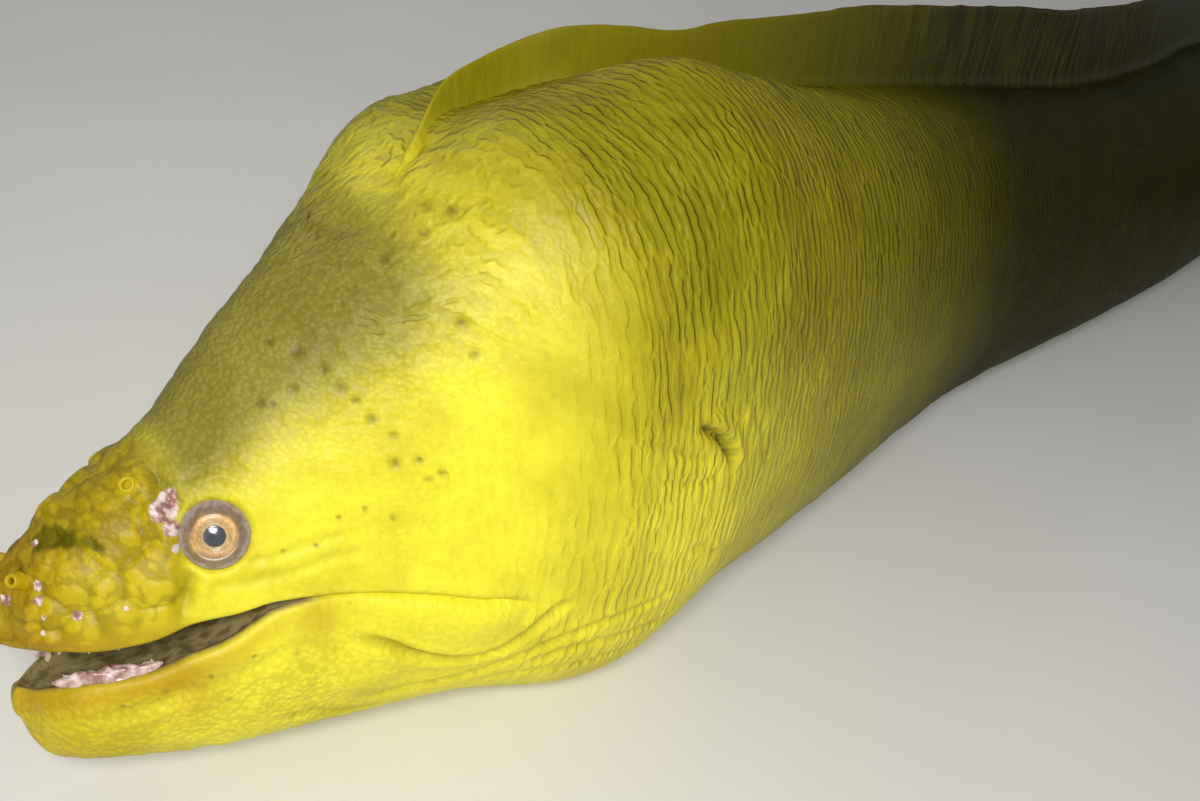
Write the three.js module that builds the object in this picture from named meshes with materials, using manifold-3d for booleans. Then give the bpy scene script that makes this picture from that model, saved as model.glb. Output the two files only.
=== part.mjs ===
// Green moray eel resting on a floor, head turned to -X and the body in one slow S.
// Millimetres, +Z up. Distances called "s" run along the spine from the tip of the snout.
import * as THREE from "three";
import { mergeVertices } from "three/addons/utils/BufferGeometryUtils.js";
import Module from "manifold-3d";

const solids = await Module();
solids.setup();

// Overall length and the clearances between neighbouring nodes
const LENGTH = 1990;
const GAP = 0.3;
const FLESH_CLEARANCE = 0.39;
const FLESH_OVERRUN = 1;
const CUT_MARGIN = 20;
const SIMPLIFY_WITHIN = 0.06;

// Spine: heading in degrees from +X towards +Y, lean to the far side, clearance below the chin
const HEADING = [
  [0, 21], [150, 38], [300, 42], [450, 47], [650, 37], [850, 36], [1000, 26],
  [1150, 8], [1350, -24], [1600, -44], [1800, -30], [LENGTH, -6],
];
const LEAN = [
  [0, 23.4], [300, 10.4], [600, 5], [800, 12], [1000, 34], [1200, 58], [1500, 74],
  [LENGTH, 88],
];
const LIFT = [[0, 31.3], [70, 19], [150, 10.9], [230, -11.2], [290, 0], [LENGTH, 0]];
const SETTLE = [[0, 0], [300, 0], [520, 1], [LENGTH, 1]];
const SINK = [[0, 3], [1600, 3], [1850, 1.5], [LENGTH, 0]];

// Cross-sections: height of the back, half width, fullness above and below the widest line
const BACK = [
  [0, 68.5], [20, 89.6], [60, 123], [100, 164], [150, 203], [200, 245.5], [250, 258],
  [300, 245], [400, 219], [550, 187], [750, 158], [1000, 146], [1300, 130], [1600, 102],
  [1850, 62], [LENGTH, 22],
];
const HALF_WIDTH = [
  [0, 4], [6, 12], [20, 21], [60, 33], [100, 43.4], [150, 65.7], [200, 88.5], [250, 87],
  [300, 79.5], [400, 67.4], [550, 61], [750, 62], [1000, 57], [1300, 46], [1600, 32],
  [1850, 16], [LENGTH, 3.5],
];
const FULLNESS = [[0, 2], [100, 2], [220, 2.7], [400, 2.3], [1150, 2.1], [LENGTH, 2]];
const FULLNESS_BELOW = 2.3;
const WIDEST = [[0, 0.5], [100, 0.5], [220, 0.56], [400, 0.5], [1150, 0.48], [LENGTH, 0.5]];
const CHIN_RISE = [[0, 15], [2, 9.2], [5, 5.2], [10, 1.9], [16, 0.4], [24, 0], [LENGTH, 0]];
const NAPE_GROOVE = [
  [0, 0], [150, 3], [185, 7], [225, 9.5], [245, 12], [275, 17], [300, 16], [340, 10],
  [450, 2], [600, 0], [LENGTH, 0],
];
const GROOVE_SPREAD = 0.26;
// Side of the groove and of the fin's foot: they wander to the far side behind the nape
const RIDGE_SIDE = [
  [0, 4], [150, 8], [170, 0], [202, -17], [225, -20], [260, -14], [320, -6], [410, 0],
  [LENGTH, 0],
];

// Mouth: height of the upper and lower lip edges in the cross-section
const LIP_UPPER = [
  [-20, 42], [0, 42], [10, 44], [28, 47], [42, 51], [58, 59], [70, 62], [84, 66],
  [105, 67], [130, 65], [150, 62],
];
const LIP_LOWER = [
  [-20, 27], [0, 27], [9, 30], [20, 33.4], [35, 38], [58, 48], [84, 63.5], [95, 65.9],
  [105, 66.5], [130, 64.5], [150, 61.5],
];
const JAW_HINGE_START = 150;
const JAW_HINGE_END = 186;
const JAW_HINGE_DROP = 140;
const MOUTH_OPEN_END = 96;
const PALATE_RISE = 7;
const MOUTH_FLOOR_DROP = 7;
const LIP_RADIUS = 2.6;
const LIP_BACK = 144;

// Eyes, nostrils, teeth and gill openings
const EYE_S = 66;
const EYE_ANGLE = 24;
const EYE_RADIUS = 14.5;
const EYE_INSET = 9.8;
const EYE_AROUND = 18;
const EYE_ROWS = 12;
const EYE_RIM_RADIUS = 11.6;
const EYE_RIM_THICKNESS = 1.9;
const NOSTRIL_TUBE = { s: 7, angle: 50, radius: 2.6, bore: 1.2, length: 6 };
const NOSTRIL_RIM = { s: 50, angle: 52, radius: 3, thickness: 0.9, bore: 2, depth: 3 };
const TOOTH_RADIUS = 1.5;
const TOOTH_LENGTH = 5.5;
const TOOTH_SHARE = 0.38;
const TOOTH_ROOT = 2.5;
const TOOTH_FIRST = 8;
const TOOTH_STEP = 9;
const TOOTH_COUNT = 6;
const TOOTH_INSET = 4.5;
const GILL_S = 238;
const GILL_ANGLE = -4;
const GILL_HALF_LENGTH = 15;
const GILL_HALF_WIDTH = 2.6;
const GILL_DEPTH = 6;
const GILL_RIM = 2.2;
const GILL_TURN = -50;

// Fins: height above the back, thickness at foot and edge, height of the ray ridges
const DORSAL_HEIGHT = [
  [170, 2], [185, 6], [205, 13], [225, 17], [260, 20], [300, 22], [340, 27], [420, 35.5],
  [500, 41], [700, 46], [1000, 48], [1400, 42], [1800, 26], [LENGTH, 12],
];
const ANAL_HEIGHT = [[1020, 2], [1080, 14], [1300, 23], [1700, 20], [LENGTH, 11]];
const FIN_FOOT = 2.4;
const FIN_EDGE = 0.9;
const FIN_ROOT = 3;
const RAY_RIDGE = 0.45;
const RAY_PITCH = 20;
const FACET_MARGIN = 0.08;
const TAIL_TIP = 22;

// Lengths of the body and of the fins, by the distances at which they meet
const BODY_CUTS = {
  neck: [210, 330], trunk_front: [330, 490], trunk_middle: [490, 670],
  trunk_rear: [670, 850], belly_end: [850, 1020], tail_base: [1020, 1220],
  tail_front: [1220, 1420], tail_middle: [1420, 1620], tail_rear: [1620, 1820],
  tail_end: [1820, LENGTH],
};
const DORSAL_CUTS = [170, 410, 650, 890, 1130, 1370, 1610, 1830];
const ANAL_CUTS = [1020, 1230, 1430, 1630, 1830];
const FIN_END = 1830;

const SKIN = { color: 0xc2b43a, roughness: 0.45, metalness: 0 };
const FIN_SKIN = { color: 0x8a8430, roughness: 0.5, metalness: 0 };
const EYE_FINISH = { color: 0x6d7488, roughness: 0.08, metalness: 0 };

// Smooth curve through knots that never overshoots them
function curve(knots) {
  const n = knots.length;
  const step = [];
  const slope = [];
  for (let i = 0; i < n - 1; i++) {
    step.push(knots[i + 1][0] - knots[i][0]);
    slope.push((knots[i + 1][1] - knots[i][1]) / step[i]);
  }
  const tangent = new Array(n).fill(0);
  for (let i = 1; i < n - 1; i++) {
    if (slope[i - 1] * slope[i] <= 0) continue;
    const a = 2 * step[i] + step[i - 1];
    const b = step[i] + 2 * step[i - 1];
    tangent[i] = (a + b) / (a / slope[i - 1] + b / slope[i]);
  }
  tangent[0] = slope[0];
  tangent[n - 1] = slope[n - 2];
  return (s) => {
    if (s <= knots[0][0]) return knots[0][1];
    if (s >= knots[n - 1][0]) return knots[n - 1][1];
    let i = 0;
    while (s > knots[i + 1][0]) i++;
    const h = step[i];
    const t = (s - knots[i][0]) / h;
    const u = 1 - t;
    return (
      (1 + 2 * t) * u * u * knots[i][1] +
      t * u * u * h * tangent[i] +
      t * t * (3 - 2 * t) * knots[i + 1][1] -
      t * t * u * h * tangent[i + 1]
    );
  };
}

const RAD = Math.PI / 180;
const heading = curve(HEADING);
const lean = curve(LEAN);
const lift = curve(LIFT);
const settle = curve(SETTLE);
const sink = curve(SINK);
const back = curve(BACK);
const halfWidth = curve(HALF_WIDTH);
const fullness = curve(FULLNESS);
const widest = curve(WIDEST);
const chinRise = curve(CHIN_RISE);
const napeGroove = curve(NAPE_GROOVE);
const ridgeSide = curve(RIDGE_SIDE);
const lipUpper = curve(LIP_UPPER);
const lipLower = curve(LIP_LOWER);
const dorsalHeight = curve(DORSAL_HEIGHT);
const analHeight = curve(ANAL_HEIGHT);

// Spine position, summed in short steps
const SPINE_STEP = 5;
const spine = [[0, 0]];
for (let s = 0; s < LENGTH + TAIL_TIP + SPINE_STEP; s += SPINE_STEP) {
  const a = heading(s + SPINE_STEP / 2) * RAD;
  const last = spine[spine.length - 1];
  spine.push([last[0] + Math.cos(a) * SPINE_STEP, last[1] + Math.sin(a) * SPINE_STEP]);
}

function spineAt(s) {
  if (s < 0) {
    const a = heading(0) * RAD;
    return [Math.cos(a) * s, Math.sin(a) * s];
  }
  const i = Math.min(Math.floor(s / SPINE_STEP), spine.length - 2);
  const t = s / SPINE_STEP - i;
  return [
    spine[i][0] * (1 - t) + spine[i + 1][0] * t,
    spine[i][1] * (1 - t) + spine[i + 1][1] * t,
  ];
}

const power = (v, e) => Math.sign(v) * Math.abs(v) ** e;

// Side and height in the cross-section at an angle above the widest line
function section(s, degrees) {
  const c = Math.cos(degrees * RAD);
  const u = Math.sin(degrees * RAD);
  const top = back(s);
  const mid = top * widest(s);
  const above = u >= 0;
  const e = 2 / (above ? fullness(s) : FULLNESS_BELOW);
  const side = halfWidth(s) * power(c, e);
  let height = mid + (above ? top - mid : mid - chinRise(s)) * power(u, e);
  const across = (side - ridgeSide(s)) / (GROOVE_SPREAD * halfWidth(s));
  if (above) height -= napeGroove(s) * Math.exp(-(across ** 2));
  return [side, height];
}

// Lowest point of the leaning cross-section
function lowest(s) {
  let least = Infinity;
  for (let a = -180; a < 180; a += 5) {
    const [side, height] = section(s, a);
    least = Math.min(least, turned(s, side, height)[1]);
  }
  return least;
}

function turned(s, side, height) {
  const a = lean(s) * RAD;
  const h = height + lift(s);
  return [side * Math.cos(a) - h * Math.sin(a), side * Math.sin(a) + h * Math.cos(a)];
}

const dropTable = [];
for (let s = 0; s <= LENGTH + SPINE_STEP; s += SPINE_STEP) dropTable.push(lowest(s) * settle(s));

function drop(s) {
  const t = Math.min(Math.max(s, 0), LENGTH) / SPINE_STEP;
  const i = Math.min(Math.floor(t), dropTable.length - 2);
  return dropTable[i] + (dropTable[i + 1] - dropTable[i]) * (t - i) + sink(s);
}

// Point in space of a side and height in the cross-section at s
function place(s, side, height) {
  const [y, z] = turned(s, side, height);
  const [x0, y0] = spineAt(s);
  const a = heading(s) * RAD;
  return new THREE.Vector3(x0 + y * Math.sin(a), y0 - y * Math.cos(a), z - drop(s));
}

const onFloor = (p) => p.setZ(Math.max(p.z, 0));

// Closed surface through rings of equal length, each going round the same way, with flat ends
function ringSolid(rings) {
  const n = rings[0].length;
  const position = [];
  const index = [];
  for (const ring of rings) for (const p of ring) position.push(p.x, p.y, p.z);
  for (let i = 0; i < rings.length - 1; i++) {
    for (let j = 0; j < n; j++) {
      const a = i * n + j;
      const b = i * n + ((j + 1) % n);
      const c = a + n;
      const d = b + n;
      if (j < n / 2) index.push(a, d, b, a, c, d);
      else index.push(a, c, b, b, c, d);
    }
  }
  for (const [row, forward] of [[0, true], [rings.length - 1, false]]) {
    const centre = new THREE.Vector3();
    for (const p of rings[row]) centre.addScaledVector(p, 1 / n);
    const at = position.length / 3;
    position.push(centre.x, centre.y, centre.z);
    for (let j = 0; j < n; j++) {
      const a = row * n + j;
      const b = row * n + ((j + 1) % n);
      if (forward) index.push(at, a, b);
      else index.push(at, b, a);
    }
  }
  const geometry = new THREE.BufferGeometry();
  geometry.setAttribute("position", new THREE.Float32BufferAttribute(position, 3));
  geometry.setIndex(index);
  return outward(geometry);
}

// Turns the faces round where they enclose a negative volume
function outward(geometry) {
  const p = geometry.getAttribute("position");
  const f = geometry.index.array;
  const [a, b, c] = [new THREE.Vector3(), new THREE.Vector3(), new THREE.Vector3()];
  let volume = 0;
  for (let i = 0; i < f.length; i += 3) {
    a.fromBufferAttribute(p, f[i]);
    b.fromBufferAttribute(p, f[i + 1]);
    c.fromBufferAttribute(p, f[i + 2]);
    volume += a.dot(b.cross(c));
  }
  if (volume < 0) {
    for (let i = 0; i < f.length; i += 3) [f[i + 1], f[i + 2]] = [f[i + 2], f[i + 1]];
  }
  return geometry;
}

// Exact solid of a closed geometry, and back
function toSolid(geometry) {
  const plain = new THREE.BufferGeometry();
  plain.setAttribute("position", geometry.getAttribute("position").clone());
  plain.setIndex(geometry.index ?? null);
  const merged = mergeVertices(plain, 1e-4);
  const mesh = new solids.Mesh({
    numProp: 3,
    vertProperties: new Float32Array(merged.getAttribute("position").array),
    triVerts: new Uint32Array(merged.index.array),
  });
  return new solids.Manifold(mesh);
}

function fromSolid(solid) {
  const largest = solid.decompose().reduce((a, b) => (b.volume() > a.volume() ? b : a));
  const mesh = largest.simplify(SIMPLIFY_WITHIN).getMesh();
  const geometry = new THREE.BufferGeometry();
  geometry.setAttribute("position", new THREE.Float32BufferAttribute(mesh.vertProperties, 3));
  geometry.setIndex(new THREE.BufferAttribute(mesh.triVerts, 1));
  return geometry;
}

// Angles round the cross-section, from the belly up the near side and down the far side
function roundAngles(count) {
  return Array.from({ length: count }, (_, j) => -90 + (360 * j) / count);
}

function bodyRing(s, angles, grow = 0, shift = 0) {
  return angles.map((a) => {
    const [side, height] = section(s, a);
    const u = a * RAD;
    const p = place(s, side + grow * Math.cos(u), height + grow * Math.sin(u));
    const h = heading(s) * RAD;
    p.x += shift * Math.cos(h);
    p.y += shift * Math.sin(h);
    return grow > 0 ? p : onFloor(p);
  });
}

// Distances from a to b at the given step, with both ends
function stations(a, b, step) {
  const count = Math.max(1, Math.round((b - a) / step));
  return Array.from({ length: count + 1 }, (_, i) => a + ((b - a) * i) / count);
}

// One length of the body between two cross-sections, short of each by half the gap
function bodyLength(a, b, step, count, endsAtTip = false) {
  const angles = roundAngles(count);
  const at = stations(a, b, step);
  return ringSolid(
    at.map((s, i) => {
      let shift = 0;
      if (i === 0) shift = GAP / 2;
      if (i === at.length - 1 && !endsAtTip) shift = -GAP / 2;
      return bodyRing(s, angles, 0, shift);
    }),
  );
}

// Region below a surface z(s, side) that follows the head, down to well under the chin
function regionBelow(surface, s0, s1, columns) {
  const sides = [-130, -60, -30, -16, -7, 0, 7, 16, 30, 60, 130];
  const bottom = -170;
  const rings = columns.filter((s) => s >= s0 && s <= s1).map((s) => {
    const row = sides.map((y) => place(s, y, surface(s, y)));
    const under = [...sides].reverse().map((y) => place(s, y, bottom));
    return [...row, ...under];
  });
  return ringSolid(rings);
}

const ramp = (v, a, b) => {
  const t = Math.min(Math.max((v - a) / (b - a), 0), 1);
  return t * t * (3 - 2 * t);
};

// How far inside the lips a point of the mouth lies, 0 at the lip and 1 at the midline
function inMouth(s, side) {
  const w = Math.max(halfWidth(Math.max(s, 6)), 8);
  const across = 1 - ramp(Math.abs(side), w * 0.35, w * 0.8);
  return across * ramp(s, 4, 22) * (1 - ramp(s, 60, MOUTH_OPEN_END));
}

const hinge = (s) =>
  -JAW_HINGE_DROP * Math.max(0, (s - JAW_HINGE_START) / (JAW_HINGE_END - JAW_HINGE_START));
const HINGE_GAP = GAP * Math.hypot(1, JAW_HINGE_DROP / (JAW_HINGE_END - JAW_HINGE_START));
const palate = (s, side) => lipUpper(s) + PALATE_RISE * inMouth(s, side) + hinge(s);
const mouthFloor = (s, side) =>
  Math.min(lipLower(s), lipUpper(s) - GAP * 1.2) - MOUTH_FLOOR_DROP * inMouth(s, side) +
  hinge(s) - (s > JAW_HINGE_START ? HINGE_GAP - GAP * 1.2 : 0);

const MOUTH_COLUMNS = [
  -16, 0, 6, 12, 20, 28, 36, 46, 58, 70, 84, 95, 108, 122, 136, JAW_HINGE_START,
  JAW_HINGE_START + 0.6, 168, JAW_HINGE_END, 200,
];

// Frame of directions on the surface of the head: outwards, along and across
function surfaceFrame(s, angle, sideSign) {
  const at = (ds, da) => {
    const [side, height] = section(s + ds, angle + da);
    return place(s + ds, sideSign * side, height);
  };
  const origin = at(0, 0);
  const along = at(1, 0).sub(at(-1, 0)).normalize();
  const across = at(0, 1).sub(at(0, -1)).normalize();
  const out = new THREE.Vector3().crossVectors(along, across).normalize();
  const centre = place(s, 0, back(s) * widest(s));
  if (out.dot(origin.clone().sub(centre)) < 0) out.negate();
  across.crossVectors(out, along).normalize();
  return { origin, along, across, out };
}

// Ring tube through points, with a radius for each
function tube(points, radii, sidesCount) {
  const rings = points.map((p, i) => {
    const before = points[Math.max(i - 1, 0)];
    const after = points[Math.min(i + 1, points.length - 1)];
    const forward = after.clone().sub(before).normalize();
    const side = new THREE.Vector3().crossVectors(forward, new THREE.Vector3(0, 0, 1)).normalize();
    const up = new THREE.Vector3().crossVectors(side, forward);
    return Array.from({ length: sidesCount }, (_, j) => {
      const a = (2 * Math.PI * j) / sidesCount;
      return p.clone()
        .addScaledVector(side, Math.cos(a) * radii[i])
        .addScaledVector(up, Math.sin(a) * radii[i]);
    });
  });
  return ringSolid(rings);
}

// Side distance of the skin at a given height of the cross-section
function sideAt(s, height) {
  let low = -89;
  let high = 89;
  for (let i = 0; i < 30; i++) {
    const mid = (low + high) / 2;
    if (section(s, mid)[1] < height) low = mid;
    else high = mid;
  }
  return section(s, (low + high) / 2)[0];
}

// Soft bead along a lip, from one corner of the mouth round the front to the other
function lipBead(edge, raise) {
  const along = [LIP_BACK, 120, 98, 78, 60, 44, 30, 19, 10, 4, 1];
  const points = [];
  const radii = [];
  const signs = [1, -1];
  for (const sign of signs) {
    const order = sign > 0 ? along : [...along].reverse();
    for (const s of order) {
      const height = edge(s) + raise;
      const side = sideAt(s, height);
      points.push(place(s, sign * (side - LIP_RADIUS * 0.45), height));
      radii.push(LIP_RADIUS * (s > 100 ? 0.55 : 1));
    }
  }
  return tube(points, radii, 6);
}

// Pointed peg rooted in the jaw
function tooth(s, sign, edge, up) {
  const height = edge(s);
  const side = Math.max(sideAt(s, height) - TOOTH_INSET, 1.5);
  const root = place(s, sign * side, height - up * TOOTH_ROOT);
  const reach = Math.min(TOOTH_LENGTH, TOOTH_SHARE * (lipUpper(s) - lipLower(s)));
  const tip = place(s - 1, sign * side * 0.96, height + up * reach);
  return tube([root, root.clone().lerp(tip, 0.55), tip], [TOOTH_RADIUS, TOOTH_RADIUS * 0.75, 0.25], 5);
}

function teeth(edge, up) {
  const made = [];
  for (let i = 0; i < TOOTH_COUNT; i++) {
    for (const sign of [-1, 1]) made.push(tooth(TOOTH_FIRST + i * TOOTH_STEP, sign, edge, up));
  }
  return made;
}

// Ball-shaped eye set in the side of the head
function eyeCentre(sign) {
  const { origin, out } = surfaceFrame(EYE_S, EYE_ANGLE, sign);
  return origin.addScaledVector(out, -EYE_INSET);
}

function ball(centre, radius, around, rows) {
  const geometry = new THREE.SphereGeometry(radius, around, rows);
  return geometry.translate(centre.x, centre.y, centre.z);
}

function eyeRim(sign) {
  const { origin, out } = surfaceFrame(EYE_S, EYE_ANGLE, sign);
  const geometry = new THREE.TorusGeometry(EYE_RIM_RADIUS, EYE_RIM_THICKNESS, 6, 20);
  const turn = new THREE.Quaternion().setFromUnitVectors(new THREE.Vector3(0, 0, 1), out);
  geometry.applyQuaternion(turn);
  return geometry.translate(origin.x, origin.y, origin.z);
}

function nostrilTube(sign) {
  const n = NOSTRIL_TUBE;
  const { origin, out } = surfaceFrame(n.s, n.angle, sign);
  const root = origin.clone().addScaledVector(out, -3);
  const tip = origin.clone().addScaledVector(out, n.length);
  const inner = origin.clone().addScaledVector(out, 1);
  const beyond = origin.clone().addScaledVector(out, n.length + 1);
  return {
    wall: tube([root, tip], [n.radius, n.radius * 0.85], 12),
    bore: tube([inner, beyond], [n.bore, n.bore], 10),
  };
}

function nostrilRim(sign) {
  const n = NOSTRIL_RIM;
  const { origin, out } = surfaceFrame(n.s, n.angle, sign);
  const turn = new THREE.Quaternion().setFromUnitVectors(new THREE.Vector3(0, 0, 1), out);
  const wall = new THREE.TorusGeometry(n.radius, n.thickness, 6, 14).applyQuaternion(turn);
  wall.translate(origin.x, origin.y, origin.z);
  const inner = origin.clone().addScaledVector(out, -n.depth);
  const beyond = origin.clone().addScaledVector(out, n.depth);
  return { wall, bore: tube([inner, beyond], [n.bore, n.bore], 10) };
}

// Long oval body lying along the surface, used for the gill slit and its raised rim
function oval(sign, halfLength, halfBreadth, halfDepth, inset) {
  const { origin, along, across, out } = surfaceFrame(GILL_S, GILL_ANGLE, sign);
  const geometry = new THREE.SphereGeometry(1, 14, 8);
  geometry.scale(halfLength, halfBreadth, halfDepth);
  const turn = GILL_TURN * RAD;
  const long = along.clone().multiplyScalar(Math.cos(turn)).addScaledVector(across, Math.sin(turn));
  const wide = new THREE.Vector3().crossVectors(out, long);
  const basis = new THREE.Matrix4().makeBasis(long, wide, out);
  geometry.applyMatrix4(basis);
  if (basis.determinant() < 0) outward(geometry);
  const at = origin.clone().addScaledVector(out, inset);
  return geometry.translate(at.x, at.y, at.z);
}

const NECK_STEP = 17;
const HEAD_END = BODY_CUTS.neck[0];
const HEAD_COLUMNS = [
  0, 3, 8, 14, 21, 29, 37, 45, 53, 60, 67, 75, 84, 94, 105, 117, 130, 143, 156, 170, 185,
  198, HEAD_END,
];
const HEAD_AROUND = 32;
const BODY_AROUND = 24;

function wholeHead() {
  const angles = roundAngles(HEAD_AROUND);
  const last = HEAD_COLUMNS.length - 1;
  return ringSolid(
    HEAD_COLUMNS.map((s, i) => bodyRing(s, angles, 0, i === last ? -GAP / 2 : 0)),
  );
}

function union(parts) {
  return solids.Manifold.union(parts);
}

function makeHead(whole) {
  const below = toSolid(regionBelow(palate, -16, 200, MOUTH_COLUMNS));
  let made = whole.add(toSolid(lipBead(lipUpper, LIP_RADIUS))).subtract(below);
  const added = teeth(lipUpper, -1).map(toSolid);
  const cut = [];
  for (const sign of [-1, 1]) {
    added.push(toSolid(eyeRim(sign)));
    for (const nostril of [nostrilTube(sign), nostrilRim(sign)]) {
      added.push(toSolid(nostril.wall));
      cut.push(toSolid(nostril.bore));
    }
    cut.push(toSolid(ball(eyeCentre(sign), EYE_RADIUS + GAP, EYE_AROUND, EYE_ROWS)));
  }
  made = union([made, ...added]);
  return made.subtract(union(cut));
}

function makeJaw(whole) {
  const below = toSolid(regionBelow(mouthFloor, -16, 200, MOUTH_COLUMNS));
  const kept = whole.add(toSolid(lipBead(lipLower, -LIP_RADIUS))).intersect(below);
  return union([kept, ...teeth(lipLower, 1).map(toSolid)]);
}

function makeNeck() {
  const [a, b] = BODY_CUTS.neck;
  let made = toSolid(bodyLength(a, b, NECK_STEP, HEAD_AROUND));
  const rim = GILL_HALF_WIDTH + GILL_RIM;
  for (const sign of [-1, 1]) {
    made = made.add(toSolid(oval(sign, GILL_HALF_LENGTH + GILL_RIM, rim, GILL_RIM, 0)));
    made = made.subtract(toSolid(oval(sign, GILL_HALF_LENGTH, GILL_HALF_WIDTH, GILL_DEPTH, 0)));
  }
  return made;
}

// Fin between two distances, above the back or below the belly, with a ridge on each ray
function fin(a, b, height, upwards, foot) {
  const at = stations(a, b, RAY_PITCH / 2);
  const rings = at.map((s, i) => {
    const ridge = i % 2 === 0 ? RAY_RIDGE : 0;
    const tall = height(s);
    const half = (t) => (FIN_FOOT * (1 - t) + FIN_EDGE * t) / 2 + ridge * (1 - t);
    const [line, base] = foot(s);
    const shift = i === 0 ? GAP / 2 : i === at.length - 1 ? -GAP / 2 : 0;
    const h = heading(s) * RAD;
    const point = (side, t) => {
      const p = place(s, line + side, base + (upwards ? 1 : -1) * tall * t);
      p.x += shift * Math.cos(h);
      p.y += shift * Math.sin(h);
      return p;
    };
    return [
      point(half(0), 0), point(half(0.55), 0.55), point(half(1), 1),
      point(-half(1), 1), point(-half(0.55), 0.55), point(-half(0), 0),
    ];
  });
  return ringSolid(rings);
}

// Side and height of a foot sunk into the line of the nape groove
function napeFoot(s) {
  const side = ridgeSide(s);
  const share = Math.abs(side / halfWidth(s)) ** (fullness(s) / 2);
  const crest = section(s, Math.acos(Math.sign(side) * share) / RAD)[1];
  return [side, crest - FIN_ROOT];
}

// First length of the dorsal fin, with the flesh below it cut out of its foot
function makeNapeFin() {
  const [a, b] = DORSAL_CUTS;
  const made = toSolid(fin(a, b, (s) => dorsalHeight(s) + FIN_ROOT, true, napeFoot));
  const [neck, trunk] = [BODY_CUTS.neck, BODY_CUTS.trunk_front];
  const lengths = [
    [HEAD_COLUMNS.filter((s) => s >= JAW_HINGE_START), HEAD_AROUND],
    [stations(...neck, NECK_STEP), HEAD_AROUND],
    [stations(...trunk, RAY_PITCH), BODY_AROUND],
  ];
  const flesh = lengths.map(([at, count]) => {
    const angles = roundAngles(count);
    const rings = at.map((s, i) => {
      let shift = 0;
      if (i === 0) shift = -FLESH_OVERRUN;
      if (i === at.length - 1) shift = FLESH_OVERRUN;
      return bodyRing(s, angles, FLESH_CLEARANCE, shift);
    });
    return toSolid(ringSolid(rings));
  });
  return made.subtract(union(flesh));
}

// Side and height of the dorsal fin's foot, clear of the rising sides of the groove
function dorsalFoot(s) {
  const crest = section(s, 90)[1];
  const rise = [80, 75].map((a) => {
    const [side, height] = section(s, a);
    return (height - crest) / side;
  });
  return [0, crest + GAP + FACET_MARGIN + Math.max(0, ...rise) * (FIN_FOOT / 2 + RAY_RIDGE)];
}

const analFoot = () => [0, -GAP];

// Fin round the tip of the tail, joining the long fins
function tailFin() {
  const rays = 7;
  const start = FIN_END;
  const end = LENGTH + TAIL_TIP;
  const at = stations(start, end, RAY_PITCH / 2);
  const rings = at.map((s, i) => {
    const t = Math.min(s, LENGTH);
    const past = Math.max(0, (s - LENGTH) / TAIL_TIP);
    const round = Math.sqrt(Math.max(0, 1 - past * past));
    const middle = back(t) / 2;
    const up = Math.max((middle + dorsalHeight(t)) * round, 3);
    const down = Math.max((middle + analHeight(t)) * round, 3);
    const ridge = i % 2 === 0 ? RAY_RIDGE : 0;
    const h = heading(s) * RAD;
    const shift = i === 0 ? GAP / 2 : 0;
    const fractions = Array.from({ length: rays }, (_, k) => 1 - (2 * k) / (rays - 1));
    const point = (f, side) => {
      const reach = f > 0 ? up * f : down * f;
      const half = (FIN_FOOT * (1 - Math.abs(f)) + FIN_EDGE * Math.abs(f)) / 2 + ridge * (1 - f * f);
      const p = place(t, side * half, middle + reach);
      p.x += (s - t + shift) * Math.cos(h);
      p.y += (s - t + shift) * Math.sin(h);
      return onFloor(p);
    };
    return [...fractions.map((f) => point(f, -1)), ...[...fractions].reverse().map((f) => point(f, 1))];
  });
  return ringSolid(rings);
}

// Tail fin with the last length of the body cut out of it
function makeTailFin() {
  const angles = roundAngles(20);
  const [a] = BODY_CUTS.tail_end;
  const at = [...stations(a - CUT_MARGIN, LENGTH, 20)];
  const rings = at.map((s) => bodyRing(s, angles, FLESH_CLEARANCE, 0));
  rings.push(bodyRing(LENGTH, angles, FLESH_CLEARANCE, FLESH_CLEARANCE));
  return toSolid(tailFin()).subtract(toSolid(ringSolid(rings)));
}

const group = new THREE.Group();
group.name = "green_moray";

function addNode(name, geometry, finish) {
  const material = new THREE.MeshStandardMaterial(finish);
  const mesh = new THREE.Mesh(geometry, material);
  mesh.name = name;
  group.add(mesh);
}

const whole = toSolid(wholeHead());
addNode("head", fromSolid(makeHead(whole)), SKIN);
addNode("lower_jaw", fromSolid(makeJaw(whole)), SKIN);
addNode("eye_left", fromSolid(toSolid(ball(eyeCentre(1), EYE_RADIUS, EYE_AROUND, EYE_ROWS))), EYE_FINISH);
addNode("eye_right", fromSolid(toSolid(ball(eyeCentre(-1), EYE_RADIUS, EYE_AROUND, EYE_ROWS))), EYE_FINISH);
addNode("neck", fromSolid(makeNeck()), SKIN);
for (const [name, [a, b]] of Object.entries(BODY_CUTS)) {
  if (name === "neck") continue;
  addNode(name, bodyLength(a, b, RAY_PITCH, BODY_AROUND, b === LENGTH), SKIN);
}
addNode("dorsal_fin_1", fromSolid(makeNapeFin()), FIN_SKIN);
for (let i = 1; i < DORSAL_CUTS.length - 1; i++) {
  const made = fin(DORSAL_CUTS[i], DORSAL_CUTS[i + 1], dorsalHeight, true, dorsalFoot);
  addNode("dorsal_fin_" + (i + 1), made, FIN_SKIN);
}
for (let i = 0; i < ANAL_CUTS.length - 1; i++) {
  const made = fin(ANAL_CUTS[i], ANAL_CUTS[i + 1], analHeight, false, analFoot);
  addNode("anal_fin_" + (i + 1), made, FIN_SKIN);
}
addNode("tail_fin", fromSolid(makeTailFin()), FIN_SKIN);

// The origin is under the middle of the whole animal, on the floor
const extent = new THREE.Box3().setFromObject(group);
const middle = extent.getCenter(new THREE.Vector3());
group.position.set(-middle.x, -middle.y, -extent.min.z);

export default group;
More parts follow.
